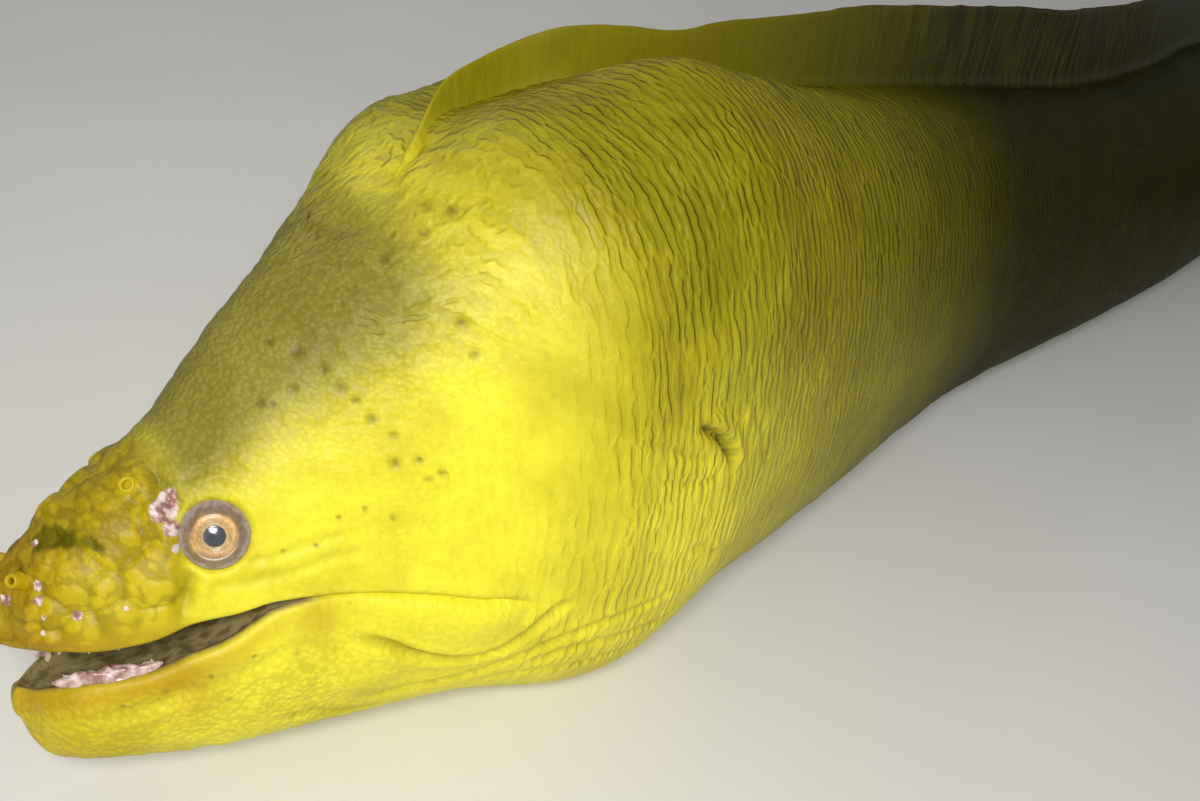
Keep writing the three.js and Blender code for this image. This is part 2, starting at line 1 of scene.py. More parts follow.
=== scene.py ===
"""Green moray eel resting on a pale floor: skin, fins, eyes, mouth and studio.

Lengths inside the classes are millimetres in the animal's own spine coordinates: "s" runs from
the snout tip along the spine, "side" towards the near flank and "height" up from the belly.
"""
import logging
import math
from dataclasses import dataclass, field
from enum import Enum
from typing import Sequence

import bpy
import numpy as np
from mathutils import Matrix, Vector


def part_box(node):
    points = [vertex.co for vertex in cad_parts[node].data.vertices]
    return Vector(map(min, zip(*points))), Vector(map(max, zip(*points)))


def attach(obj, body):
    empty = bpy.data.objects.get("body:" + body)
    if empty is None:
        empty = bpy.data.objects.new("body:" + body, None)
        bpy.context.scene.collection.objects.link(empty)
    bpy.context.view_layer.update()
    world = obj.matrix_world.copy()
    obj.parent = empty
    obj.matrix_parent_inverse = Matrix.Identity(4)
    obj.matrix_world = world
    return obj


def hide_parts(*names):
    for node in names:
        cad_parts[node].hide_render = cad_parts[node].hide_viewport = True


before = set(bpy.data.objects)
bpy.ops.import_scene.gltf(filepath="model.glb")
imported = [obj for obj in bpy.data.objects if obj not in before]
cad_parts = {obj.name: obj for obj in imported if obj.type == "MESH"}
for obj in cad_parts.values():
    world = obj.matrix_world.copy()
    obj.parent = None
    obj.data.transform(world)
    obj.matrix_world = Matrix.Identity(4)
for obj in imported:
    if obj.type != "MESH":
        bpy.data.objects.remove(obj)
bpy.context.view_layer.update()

log = logging.getLogger("moray")
Array = np.ndarray
Knots = tuple[tuple[float, float], ...]
Entry = tuple[float, ...]
Socket = bpy.types.NodeSocket
MM = 0.001


class Side(Enum):
    """Flank of the animal; the near flank faces the camera."""

    NEAR = 1
    FAR = -1


# Shared functions


def curve(knots: Knots, s: Array) -> Array:
    """Smooth curve through knots that never overshoots them (weighted harmonic tangents).

    Args:
        knots: pairs of position and value, in order.
        s: positions to read.

    Returns:
        The value at each position.
    """
    k = np.array(knots, float)
    x, y = k[:, 0], k[:, 1]
    h = np.diff(x)
    d = np.diff(y) / h
    a, b = 2 * h[1:] + h[:-1], h[1:] + 2 * h[:-1]
    same = d[:-1] * d[1:] > 0
    safe0, safe1 = np.where(same, d[:-1], 1.0), np.where(same, d[1:], 1.0)
    m = np.concatenate([[d[0]], np.where(same, (a + b) / (a / safe0 + b / safe1), 0.0), [d[-1]]])
    s = np.clip(np.asarray(s, float), x[0], x[-1])
    i = np.clip(np.searchsorted(x, s, "right") - 1, 0, len(h) - 1)
    t = (s - x[i]) / h[i]
    u = 1 - t
    return ((1 + 2 * t) * u * u * y[i] + t * u * u * h[i] * m[i]
            + t * t * (3 - 2 * t) * y[i + 1] - t * t * u * h[i] * m[i + 1])


def ramp(v: Array, a: float, b: float) -> Array:
    """Smooth step from 0 at a to 1 at b: 3t squared less 2t cubed."""
    t = np.clip((v - a) / (b - a), 0, 1)
    return t * t * (3 - 2 * t)


def signed_power(v: Array, e: Array) -> Array:
    """Keeps the sign of v and raises its size to the power e."""
    return np.sign(v) * np.abs(v) ** e


def bell(d: Array, width: float) -> Array:
    """Gaussian bell: exp of minus (d over width) squared."""
    return np.exp(-((d / width) ** 2))


def lattice_noise(p: Array, seed: int) -> Array:
    """Value noise: random lattice values blended with smooth steps in three directions.

    Args:
        p: points in lattice units, shape (..., 3).
        seed: chooses the lattice.

    Returns:
        Values from 0 to 1, of shape (...).
    """
    table = np.random.default_rng(seed).random((32, 32, 32))
    base = np.floor(p).astype(int)
    t = p - base
    t = t * t * (3 - 2 * t)
    i, j, k = (base[..., n] % 32 for n in range(3))
    i1, j1, k1 = (i + 1) % 32, (j + 1) % 32, (k + 1) % 32
    u, v, w = t[..., 0], t[..., 1], t[..., 2]
    low = ((table[i, j, k] * (1 - u) + table[i1, j, k] * u) * (1 - v)
           + (table[i, j1, k] * (1 - u) + table[i1, j1, k] * u) * v)
    high = ((table[i, j, k1] * (1 - u) + table[i1, j, k1] * u) * (1 - v)
            + (table[i, j1, k1] * (1 - u) + table[i1, j1, k1] * u) * v)
    return low * (1 - w) + high * w


def resample(points: Array, share: Array) -> Array:
    """Reads every row of a family of polylines at the same shares of its own length.

    Args:
        points: polylines, shape (rows, samples, n).
        share: positions from 0 to 1, shape (columns,).

    Returns:
        Points of shape (rows, columns, n).
    """
    rows, samples = points.shape[:2]
    step = np.linalg.norm(np.diff(points, axis=1), axis=2)
    run = np.concatenate([np.zeros((rows, 1)), np.cumsum(step, 1)], 1)
    run /= run[:, -1:]
    lane = 2.0 * np.arange(rows)[:, None]
    at = np.clip(np.searchsorted((run + lane).ravel(), (share[None] + lane).ravel(), "right") - 1,
                 0, rows * samples - 2).reshape(rows, -1)
    first = np.arange(rows)[:, None] * samples
    at = np.clip(at, first, first + samples - 2)
    flat = run.ravel()
    t = (share[None] - flat[at]) / np.maximum(flat[at + 1] - flat[at], 1e-12)
    t = np.clip(t, 0, 1)[..., None]
    every = points.reshape(rows * samples, -1)
    return every[at] * (1 - t) + every[at + 1] * t


def grid_faces(rows: int, columns: int, first: int = 0, wrap: bool = False) -> Array:
    """Quads of a grid of points numbered row by row.

    Args:
        rows: number of rows of points.
        columns: number of points in a row.
        first: number of the first point.
        wrap: joins the last column to the first.

    Returns:
        Faces of shape (n, 4).
    """
    i = np.arange(rows - 1)[:, None] * columns
    j = np.arange(columns if wrap else columns - 1)[None]
    k = (j + 1) % columns
    a, b, c, d = i + j, i + k, i + columns + k, i + columns + j
    return first + np.stack([a, b, c, d], -1).reshape(-1, 4)


@dataclass
class Patch:
    """Grid of points with the values that its material reads.

    Attributes:
        points: positions in the model frame, millimetres, shape (rows, columns, 3).
        straight: the same points in spine coordinates, shape (rows, columns, 3).
        values: named values for each point, shape (rows, columns) or (rows, columns, 3).
        flip: turns the faces round.
        wrap: joins the last column to the first.
    """

    points: Array
    straight: Array
    values: dict[str, Array] = field(default_factory=dict)
    flip: bool = False
    wrap: bool = False


def skin_values(shape: tuple[int, int], **given: Array) -> dict[str, Array]:
    """Values of unmarked skin for a grid, with the given ones in their place."""
    marks = ("dark", "raw", "folded", "pad", "grain", "lining")
    return {**{key: np.zeros(shape) for key in marks}, **given}


def fan(row: Array) -> Array:
    """Row of points of shape (1, columns, 3) drawn together on its centre."""
    return np.repeat(row.mean(1, keepdims=True), row.shape[1], 1)


def build_mesh(name: str, patches: Sequence[Patch], offset: Array) -> bpy.types.Object:
    """Welds patches into one mesh and stores their values as point attributes.

    Points closer than a micrometre become one, and faces that lose a corner by it are made
    triangles or left out.

    Args:
        name: name of the piece.
        patches: the grids, all with the same named values.
        offset: place of the spine's origin in the model frame, millimetres.

    Returns:
        The object, at the origin, with smooth faces.
    """
    points, faces = [], []
    values: dict[str, list[Array]] = {key: [] for key in (*patches[0].values, "straight")}
    first = 0
    for patch in patches:
        rows, columns = patch.points.shape[:2]
        quads = grid_faces(rows, columns, first, patch.wrap)
        faces.append(quads[:, ::-1] if patch.flip else quads)
        points.append(patch.points.reshape(-1, 3))
        for key, parts in values.items():
            v = patch.straight * MM if key == "straight" else patch.values[key]
            parts.append(v.reshape(rows * columns, -1))
        first += rows * columns
    co = (np.concatenate(points) + offset) * MM
    quads = np.concatenate(faces)
    _, keep, group = np.unique(np.round(co / 1e-6).astype(np.int64), axis=0,
                               return_index=True, return_inverse=True)
    quads = group.reshape(-1)[quads]
    same = quads == np.roll(quads, -1, axis=1)
    count = same.sum(1)
    whole = quads[count == 0]
    whole = whole[(whole[:, 0] != whole[:, 2]) & (whole[:, 1] != whole[:, 3])]
    part, gone = quads[count == 1], same[count == 1]
    triangles = part[~gone].reshape(-1, 3)
    corners = np.concatenate([whole.ravel(), triangles.ravel()])
    sizes = np.concatenate([np.full(len(whole), 4), np.full(len(triangles), 3)])
    mesh = bpy.data.meshes.new(name)
    mesh.vertices.add(len(keep))
    mesh.vertices.foreach_set("co", co[keep].ravel())
    mesh.loops.add(len(corners))
    mesh.loops.foreach_set("vertex_index", corners.astype(np.int32))
    mesh.polygons.add(len(sizes))
    starts = np.concatenate([[0], np.cumsum(sizes)[:-1]])
    mesh.polygons.foreach_set("loop_start", starts.astype(np.int32))
    mesh.polygons.foreach_set("use_smooth", np.ones(len(sizes), bool))
    mesh.update(calc_edges=True)
    mesh.validate()
    for key, parts in values.items():
        v = np.concatenate(parts)[keep]
        if key == "tone":
            layer = mesh.color_attributes.new(key, "FLOAT_COLOR", "POINT")
            layer.data.foreach_set("color", np.concatenate([v, np.ones((len(v), 1))], 1).ravel())
            continue
        kind, part = ("FLOAT_VECTOR", "vector") if v.shape[1] == 3 else ("FLOAT", "value")
        mesh.attributes.new(key, kind, "POINT").data.foreach_set(part, v.ravel())
    piece = bpy.data.objects.new(name, mesh)
    bpy.context.scene.collection.objects.link(piece)
    return piece


def dress(piece: bpy.types.Object, material: bpy.types.Material,
          nodes: Sequence[str] = ()) -> bpy.types.Object:
    """Gives a piece its material and the solids that it stands for.

    Args:
        piece: the object.
        material: its finish.
        nodes: solids that the piece replaces.

    Returns:
        The piece.
    """
    piece.data.materials.append(material)
    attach(piece, "root")
    if nodes:
        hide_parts(*nodes)
    log.info("%s: %d faces", piece.name, len(piece.data.polygons))
    return piece


# The form of the animal


@dataclass(frozen=True)
class BodyForm:
    """Spine, cross-sections and mouth line, in the same sizes as the solids.

    Knots pair a distance along the spine with a value: heading and lean in degrees, fullness as
    the power of the superellipse, widest as a share of the height, the rest in millimetres.
    """

    length: float = 1990.0
    spine_step: float = 5.0
    heading: Knots = ((0, 21), (150, 38), (300, 42), (450, 47), (650, 37), (850, 36), (1000, 26),
                      (1150, 8), (1350, -24), (1600, -44), (1800, -30), (1990, -6))
    lean: Knots = ((0, 23.4), (300, 10.4), (600, 5), (800, 12), (1000, 34), (1200, 58),
                   (1500, 74), (1990, 88))
    lift: Knots = ((0, 31.3), (70, 19), (150, 10.9), (230, -11.2), (290, 0), (1990, 0))
    settle: Knots = ((0, 0), (300, 0), (520, 1), (1990, 1))
    sink: Knots = ((0, 3), (1600, 3), (1850, 1.5), (1990, 0))
    back: Knots = ((0, 68.5), (20, 89.6), (60, 123), (100, 164), (150, 203), (200, 245.5),
                   (250, 258), (300, 245), (400, 219), (550, 187), (750, 158), (1000, 146),
                   (1300, 130), (1600, 102), (1850, 62), (1990, 22))
    half_width: Knots = ((0, 4), (6, 12), (20, 21), (60, 33), (100, 43.4), (150, 65.7),
                         (200, 88.5), (250, 87), (300, 79.5), (400, 67.4), (550, 61), (750, 62),
                         (1000, 57), (1300, 46), (1600, 32), (1850, 16), (1990, 3.5))
    fullness: Knots = ((0, 2), (100, 2), (220, 2.7), (400, 2.3), (1150, 2.1), (1990, 2))
    fullness_below: float = 2.3
    widest: Knots = ((0, 0.5), (100, 0.5), (220, 0.56), (400, 0.5), (1150, 0.48), (1990, 0.5))
    chin_rise: Knots = ((0, 15), (2, 9.2), (5, 5.2), (10, 1.9), (16, 0.4), (24, 0), (1990, 0))
    nape_groove: Knots = ((0, 0), (150, 3), (185, 7), (225, 9.5), (245, 12), (275, 17),
                          (300, 16), (340, 10), (450, 2), (600, 0), (1990, 0))
    groove_spread: float = 0.26
    ridge_side: Knots = ((0, 4), (150, 8), (170, 0), (202, -17), (225, -20), (260, -14),
                         (320, -6), (410, 0), (1990, 0))
    lip_upper: Knots = ((-20, 42), (0, 42), (10, 44), (28, 47), (42, 51), (58, 59), (70, 62),
                        (84, 66), (105, 67), (130, 65), (150, 62), (220, 62), (1000, 60), (1300, 52),
                        (1600, 42), (1850, 26), (1990, 9))
    lip_gap: Knots = ((-20, 15), (0, 15), (9, 14), (20, 12.3), (35, 11.2), (58, 11), (84, 2.6),
                      (98, 0), (200, 0))
    corner: float = 98.0

    def section(self, s: Array, angle: Array) -> tuple[Array, Array]:
        """Side and height at an angle: a superellipse, dipped by a bell along the nape.

        Args:
            s: distances along the spine.
            angle: angles round the section, degrees from the near flank up.

        Returns:
            Side and height.
        """
        c, u = np.cos(np.radians(angle)), np.sin(np.radians(angle))
        top = curve(self.back, s)
        mid = top * curve(self.widest, s)
        above = u >= 0
        e = 2 / np.where(above, curve(self.fullness, s), self.fullness_below)
        width = curve(self.half_width, s)
        side = width * signed_power(c, e)
        low = mid - curve(self.chin_rise, s)
        height = mid + np.where(above, top - mid, low) * signed_power(u, e)
        across = side - curve(self.ridge_side, s)
        dip = curve(self.nape_groove, s) * bell(across / (self.groove_spread * width), 1.0)
        return side, np.where(above, height - dip, height)

    def angle_at(self, s: Array, height: Array) -> Array:
        """Angle of the cross-section's near flank at a height, from the superellipse.

        Args:
            s: distances along the spine.
            height: heights over the belly.

        Returns:
            The angle in degrees.
        """
        top = curve(self.back, s)
        mid = top * curve(self.widest, s)
        up = np.clip((height - mid) / (top - mid), 0, 1) ** (curve(self.fullness, s) / 2)
        low = mid - curve(self.chin_rise, s)
        down = np.clip((mid - height) / low, 0, 1) ** (self.fullness_below / 2)
        return np.degrees(np.where(height >= mid, np.arcsin(up), -np.arcsin(down)))

    def crest(self, s: Array) -> tuple[Array, Array]:
        """Side and height of the line that the long fin grows from.

        Args:
            s: distances along the spine.

        Returns:
            Side and height.
        """
        side = curve(self.ridge_side, s)
        share = np.abs(side / curve(self.half_width, s)) ** (curve(self.fullness, s) / 2)
        return self.section(s, np.degrees(np.arccos(np.sign(side) * share)))

    def turned(self, s: Array, side: Array, height: Array) -> tuple[Array, Array]:
        """Side and height after the section leans over by its angle about the spine.

        Args:
            s: distances along the spine.
            side: places across the upright section.
            height: heights in the upright section.

        Returns:
            Side and height.
        """
        a = np.radians(curve(self.lean, s))
        h = height + curve(self.lift, s)
        return side * np.cos(a) - h * np.sin(a), side * np.sin(a) + h * np.cos(a)

    def drop(self, s: Array) -> Array:
        """How far the section is let down, from the lowest point of the leaning section.

        Args:
            s: distances along the spine.

        Returns:
            The distance at each of them.
        """
        at = np.arange(0, self.length + self.spine_step, self.spine_step)
        around = np.arange(-180, 180, 5.0)
        side, height = self.section(at[:, None], around[None])
        low = self.turned(at[:, None], side, height)[1].min(1) * curve(self.settle, at)
        return np.interp(s, at, low) + curve(self.sink, s)

    def place(self, s: Array, side: Array, height: Array) -> Array:
        """Points in the model frame: the spine is the sum of short steps along its heading.

        Args:
            s: distances along the spine.
            side: places across the section.
            height: heights in the section.

        Returns:
            Points of shape (..., 3).
        """
        s, side, height = np.broadcast_arrays(s, side, height)
        step = self.spine_step
        at = np.arange(0, self.length + 12 * step, step)
        a = np.radians(curve(self.heading, at[:-1] + step / 2))
        x = np.concatenate([[0], np.cumsum(np.cos(a) * step)])
        y = np.concatenate([[0], np.cumsum(np.sin(a) * step)])
        head = np.radians(curve(self.heading, s))
        ahead = np.minimum(s, 0)
        across, z = self.turned(s, side, height)
        return np.stack([np.interp(s, at, x) + ahead * np.cos(head) + across * np.sin(head),
                         np.interp(s, at, y) + ahead * np.sin(head) - across * np.cos(head),
                         z - self.drop(s)], -1)

    def surface(self, s: Array, angle: Array, side: Side = Side.NEAR) -> Array:
        """Points on the plain surface at an angle of one flank."""
        across, height = self.section(s, angle)
        return self.place(s, side.value * across, height)

    def frame_at(self, s: float, angle: float, side: Side) -> Matrix:
        """Axes on the surface: first towards the tail, second up the flank, third outwards.

        Args:
            s: distance along the spine.
            angle: angle round the section.
            side: which flank.

        Returns:
            Matrix with the three axes and the place.
        """
        ds, da = np.array([1.0, -1, 0, 0, 0]), np.array([0, 0, 1.0, -1, 0])
        p = self.surface(s + ds, angle + da, side)
        along = Vector(p[0] - p[1]).normalized()
        up = Vector(p[2] - p[3]).normalized()
        out = along.cross(up).normalized()
        centre = self.place(np.array([s]), np.array([0.0]),
                            np.array([float(curve(self.back, s) * curve(self.widest, s))]))[0]
        if out.dot(Vector(p[4] - centre)) < 0:
            out.negate()
        up = (up - out * up.dot(out)).normalized()
        along = (along - out * along.dot(out) - up * along.dot(up)).normalized()
        made = Matrix((along, up, out)).transposed().to_4x4()
        made.translation = Vector(p[4])
        return made


# Finishes


class Nodes:
    """Short hand for building a material from nodes."""

    def __init__(self, name: str) -> None:
        """Starts an empty material with a Principled shader.

        Args:
            name: name of the material.
        """
        self.material = bpy.data.materials.new(name)
        self.material.use_nodes = True
        self.tree = self.material.node_tree
        self.tree.nodes.clear()
        self.shader = self.node("BsdfPrincipled")
        self.node("OutputMaterial", self.shader.outputs[0])

    def node(self, kind: str, *inputs: object, **named: object) -> bpy.types.Node:
        """Adds a node and fills it.

        Args:
            kind: type of the node, without the beginning that all share.
            inputs: values or sockets for its first inputs, in order.
            named: options by their own names, and further inputs by capitalised names.

        Returns:
            The node.
        """
        made = self.tree.nodes.new("ShaderNode" + kind)
        for key, value in named.items():
            if key[0].isupper():
                self.put(made.inputs[key], value)
            else:
                setattr(made, key, value)
        for socket, value in zip(made.inputs, inputs):
            self.put(socket, value)
        return made

    def put(self, socket: Socket, value: object) -> None:
        """Links a socket to another, or sets its value.

        Args:
            socket: the input.
            value: a socket or a plain value.
        """
        if isinstance(value, bpy.types.NodeSocket):
            self.tree.links.new(value, socket)
        else:
            socket.default_value = value

    def set(self, **values: object) -> None:
        """Sets sockets of the shader, named with underscores for spaces."""
        for key, value in values.items():
            self.put(self.shader.inputs[key.replace("_", " ")], value)

    def attribute(self, name: str, part: str = "Fac") -> Socket:
        """Reads a point attribute: Fac, Vector or Color."""
        return self.node("Attribute", attribute_name=name).outputs[part]

    def position(self) -> Socket:
        """Object coordinates."""
        return self.node("TexCoord").outputs["Object"]

    def scaled(self, vector: Socket, scale: Sequence[float]) -> Socket:
        """The vector stretched by three factors."""
        return self.node("Mapping", vector, Scale=scale).outputs[0]

    def noise(self, vector: Socket, scale: float, detail: float = 3, rough: float = 0.55,
              warp: float = 0.0) -> Socket:
        """Noise from 0 to 1 at points of a vector."""
        return self.node("TexNoise", vector, Scale=scale, Detail=detail, Roughness=rough,
                         Distortion=warp).outputs[0]

    def cells(self, vector: Socket, scale: float) -> Socket:
        """Distance to the nearest of scattered points."""
        return self.node("TexVoronoi", vector, Scale=scale).outputs["Distance"]

    def warped(self, vector: Socket, scale: float, reach: float) -> Socket:
        """Vector shifted every way by noise, up to half the reach in metres.

        Args:
            vector: the vector.
            scale: waves of the noise to a metre.
            reach: greatest shift times two.

        Returns:
            The shifted vector.
        """
        noise = self.node("TexNoise", vector, Scale=scale).outputs["Color"]
        return self.node("VectorMath", noise, (reach,) * 3, vector,
                         operation="MULTIPLY_ADD").outputs[0]

    def ripples(self, flow: Socket, pitch: float) -> Socket:
        """Short wavy ridges: two sine waves of nearly one pitch, shifted by noise.

        Args:
            flow: vector whose first part runs across the ridges and second along them.
            pitch: distance between ridges in metres.

        Returns:
            Height from 0 to 1.
        """
        across, along, _ = self.node("SeparateXYZ", flow).outputs
        total = 0.5
        for part, slant, spread in ((1.0, 0.0, (110, 70, 70)), (0.83, 0.2, (130, 90, 90))):
            rate = 2 * math.pi / pitch * part
            shift = self.times(self.noise(self.scaled(flow, spread), 1.0, 2), 13.0)
            phase = self.plus(self.times(across, rate),
                              self.plus(self.times(along, rate * slant), shift))
            total = self.plus(self.times(self.math("SINE", phase), 0.25), total)
        return total

    def math(self, kind: str, a: object, b: object = 0.0) -> Socket:
        """Arithmetic on two values."""
        return self.node("Math", a, b, operation=kind).outputs[0]

    def times(self, a: object, b: object) -> Socket:
        """Product of two values."""
        return self.math("MULTIPLY", a, b)

    def plus(self, a: object, b: object) -> Socket:
        """Sum of two values."""
        return self.math("ADD", a, b)

    def between(self, value: object, a: float, b: float, low: float = 0.0,
                high: float = 1.0) -> Socket:
        """Maps a to b onto low to high, smoothly and within limits."""
        return self.node("MapRange", value, a, b, low, high,
                         interpolation_type="SMOOTHSTEP").outputs[0]

    def mix(self, share: object, a: object, b: object, kind: str = "MIX") -> Socket:
        """Mixes two colours.

        Args:
            share: share of the second.
            a: first colour.
            b: second colour.
            kind: way of mixing.

        Returns:
            The colour.
        """
        node = self.node("Mix", share, data_type="RGBA", blend_type=kind)
        self.put(node.inputs[6], a)
        self.put(node.inputs[7], b)
        return node.outputs[2]

    def tinted(self, colour: object, tint: object) -> Socket:
        """Product of two colours."""
        return self.mix(1.0, colour, tint, "MULTIPLY")

    def bump(self, height: Socket, depth: float, strength: float = 1.0, **after: Socket) -> Socket:
        """Bump of a depth in metres, on top of another normal if one is named."""
        return self.node("Bump", Distance=depth, Strength=strength, Height=height,
                         **after).outputs[0]


def rgb(r: float, g: float, b: float) -> tuple[float, float, float, float]:
    """Scene colour of an 8-bit screen colour: each part over 255 to the power 2.2."""
    return tuple((c / 255) ** 2.2 for c in (r, g, b)) + (1.0,)


@dataclass(frozen=True)
class SkinFinish:
    """Slick scaleless skin with fine folds round the body and pebbled grain on the head, with painted
    shade in its hollows.

    Attributes:
        name: name of the material.
        fold_pitch: distance from one fine fold to the next in metres.
        grain: pebbles to a metre.
        warts: warts of the snout to a metre.
        clouds: clouds of the mottling to a metre.
        specks: specks to a metre.
        roughness: gloss of the wet skin.
        depth: bump depth of folds, pebbles and warts in metres.
    """

    name: str = "moray_skin"
    fold_pitch: float = 0.0042
    grain: float = 430.0
    warts: float = 175.0
    clouds: float = 30.0
    specks: float = 620.0
    roughness: float = 0.5
    depth: float = 0.0008

    def build(self) -> bpy.types.Material:
        """Colour from the tone attribute, mottled and with painted shade in hollows; folds, grain and
        pores as bump.

        Returns:
            The material.
        """
        n = Nodes(self.name)
        straight, flow = n.attribute("straight", "Vector"), n.attribute("flow", "Vector")
        tone, pale = n.attribute("tone", "Color"), n.attribute("tone")
        raw, dark, lining = n.attribute("raw"), n.attribute("dark"), n.attribute("lining")
        folded, grain, pad = n.attribute("folded"), n.attribute("grain"), n.attribute("pad")
        patchy = n.between(n.noise(n.scaled(flow, (95.0, 60.0, 60.0)), 1.0, 2), 0.36, 0.6, 0.35, 1)
        crest = n.times(n.between(n.ripples(flow, self.fold_pitch), 0.16, 0.76), patchy)
        bead = n.between(n.cells(straight, self.grain), 0.75, 0.15)
        wart = n.between(n.cells(n.warped(straight, 90.0, 0.005), self.warts), 0.7, 0.1)
        cloud = n.noise(straight, self.clouds, 5, 0.6)
        speck = n.noise(straight, self.specks, 3, 0.6)
        deep = n.tinted(tone, rgb(196, 190, 110))
        colour = n.mix(n.between(cloud, 0.35, 0.7, 0.0, 0.5), tone, deep)
        # Painted shade in the valleys between fine folds.
        valley = n.times(n.between(crest, 0.5, 0.0, 0.0, 0.15), folded)
        colour = n.mix(valley, colour, n.tinted(colour, rgb(150, 140, 40)))
        # Painted shade in the gaps between pebbles and between the snout's warts.
        gap = n.plus(n.times(n.between(bead, 0.5, 0.0, 0.0, 0.2), grain),
                     n.times(n.between(wart, 0.3, 0.0, 0.0, 0.4), pad))
        colour = n.mix(gap, colour, n.tinted(colour, rgb(150, 140, 60)))
        colour = n.mix(n.between(speck, 0.62, 0.8, 0.0, 0.3), colour, deep)
        # Painted shade: this value darkens pits, creases, the gill slit, valleys between snout lumps
        # and nostril bores.
        colour = n.mix(dark, colour, rgb(66, 60, 4))
        ragged = n.plus(raw, n.times(n.math("SUBTRACT", speck, 0.5), 0.8))
        sore = n.between(ragged, 0.38, 0.62)
        # Raw flesh: pink with pale flecks, partly pale tissue and partly painted glints on the wet
        # wound.
        flesh = n.mix(n.between(n.noise(straight, 300.0, 3), 0.38, 0.6), rgb(146, 104, 98),
                      rgb(222, 206, 204))
        colour = n.mix(sore, colour, flesh)
        inner = n.mix(n.between(n.noise(straight, 180.0, 3), 0.35, 0.65), rgb(104, 90, 52),
                      rgb(150, 136, 92))
        colour = n.mix(lining, colour, inner)
        dull = n.between(speck, 0.3, 0.7, self.roughness - 0.06, self.roughness + 0.12)
        height = n.plus(n.times(crest, folded), n.times(n.times(bead, grain), 0.4))
        height = n.plus(height, n.times(n.times(wart, pad), 0.5))
        n.set(Base_Color=colour, Roughness=n.times(dull, n.between(sore, 0, 1, 1, 0.4)),
              Specular_IOR_Level=n.between(pale, 0.0, 0.3, 0.06, 0.25),
              Subsurface_Weight=0.06, Subsurface_Scale=0.003, Subsurface_Radius=(1.0, 0.8, 0.1),
              Coat_Weight=n.between(pale, 0.0, 0.3, 0.0, 0.07), Coat_Roughness=0.3,
              Normal=n.bump(speck, 0.0003, 0.5, Normal=n.bump(height, self.depth)))
        return n.material


@dataclass(frozen=True)
class FinFinish:
    """Thick fin skin, olive, with faint streaks along the rays."""

    name: str = "fin_skin"

    def build(self) -> bpy.types.Material:
        """Tone attribute streaked along the rays by stretched noise.

        Returns:
            The material.
        """
        n = Nodes(self.name)
        straight = n.attribute("straight", "Vector")
        streak = n.noise(n.scaled(straight, (260.0, 60.0, 24.0)), 1.0, 4, 0.6, 0.5)
        cloud = n.noise(straight, 45.0, 4)
        colour = n.mix(n.between(streak, 0.35, 0.7, 0.0, 0.28), n.attribute("tone", "Color"),
                       rgb(104, 98, 12))
        colour = n.mix(n.between(cloud, 0.5, 0.75, 0.0, 0.25), colour, rgb(84, 82, 10))
        n.set(Base_Color=colour, Roughness=n.between(streak, 0.3, 0.7, 0.4, 0.55),
              Coat_Weight=0.06, Coat_Roughness=0.25, Subsurface_Weight=0.08,
              Subsurface_Scale=0.003, Specular_IOR_Level=0.2, Normal=n.bump(streak, 0.0006, 0.6))
        return n.material


@dataclass(frozen=True)
class WetFinish:
    """Moist surface of two tones: gum, teeth, iris, pupil and the skin round the eye.

    Attributes:
        name: name of the material.
        second: colour of the mottling, or its shade where the main colour is an attribute.
        first: main colour; without one it comes from the tone attribute.
        scale: mottles to a metre.
        roughness: gloss.
        depth: bump depth in metres.
    """

    name: str
    second: Entry
    first: Entry | None = None
    scale: float = 500.0
    roughness: float = 0.3
    depth: float = 0.0003

    def build(self) -> bpy.types.Material:
        """Two colours mixed by noise, with a light bump and a wet coat.

        Returns:
            The material.
        """
        n = Nodes(self.name)
        spot = n.noise(n.position(), self.scale, 4, 0.6)
        first, second = self.first, self.second
        if first is None:
            first = n.attribute("tone", "Color")
            second = n.tinted(first, second)
        n.set(Base_Color=n.mix(n.between(spot, 0.35, 0.65), first, second),
              Roughness=n.between(spot, 0.3, 0.7, self.roughness, self.roughness + 0.12),
              Coat_Weight=0.5, Coat_Roughness=0.08, Normal=n.bump(spot, self.depth, 0.7))
        return n.material


@dataclass(frozen=True)
class ClearFinish:
    """Clear bulging front of the eye."""

    name: str = "eye_front"

    def build(self) -> bpy.types.Material:
        """Clear gloss with a faint cloud in its bump.

        Returns:
            The material.
        """
        n = Nodes(self.name)
        n.set(Base_Color=(1, 1, 1, 1), Roughness=0.1, IOR=1.34, Transmission_Weight=1.0,
              Normal=n.bump(n.noise(n.position(), 300.0), 0.00005, 0.3))
        return n.material


@dataclass(frozen=True)
class FloorFinish:
    """Plain pale studio floor."""

    name: str = "studio_floor"

    def build(self) -> bpy.types.Material:
        """Nearly white, barely mottled.

        Returns:
            The material.
        """
        n = Nodes(self.name)
        spot = n.noise(n.position(), 3.0, 3)
        n.set(Base_Color=n.mix(n.between(spot, 0.3, 0.7), (0.7, 0.69, 0.66, 1),
                               (0.74, 0.73, 0.7, 1)), Roughness=0.75)
        return n.material


# Skin


class Tone(Enum):
    """Colours of the skin, and a near black laid on as painted shade, as 8-bit screen colours."""

    LEMON = (228, 218, 54)
    OCHRE = (184, 161, 11)
    RUST = (172, 124, 16)
    OLIVE = (134, 126, 14)
    # Painted shade: near black laid over the body behind the head, where light falls off.
    PAINTED_FALLOFF_SHADE = (36, 36, 3)
    GOLD = (138, 129, 4)
    TAN = (130, 122, 54)
    MOSS = (86, 92, 10)


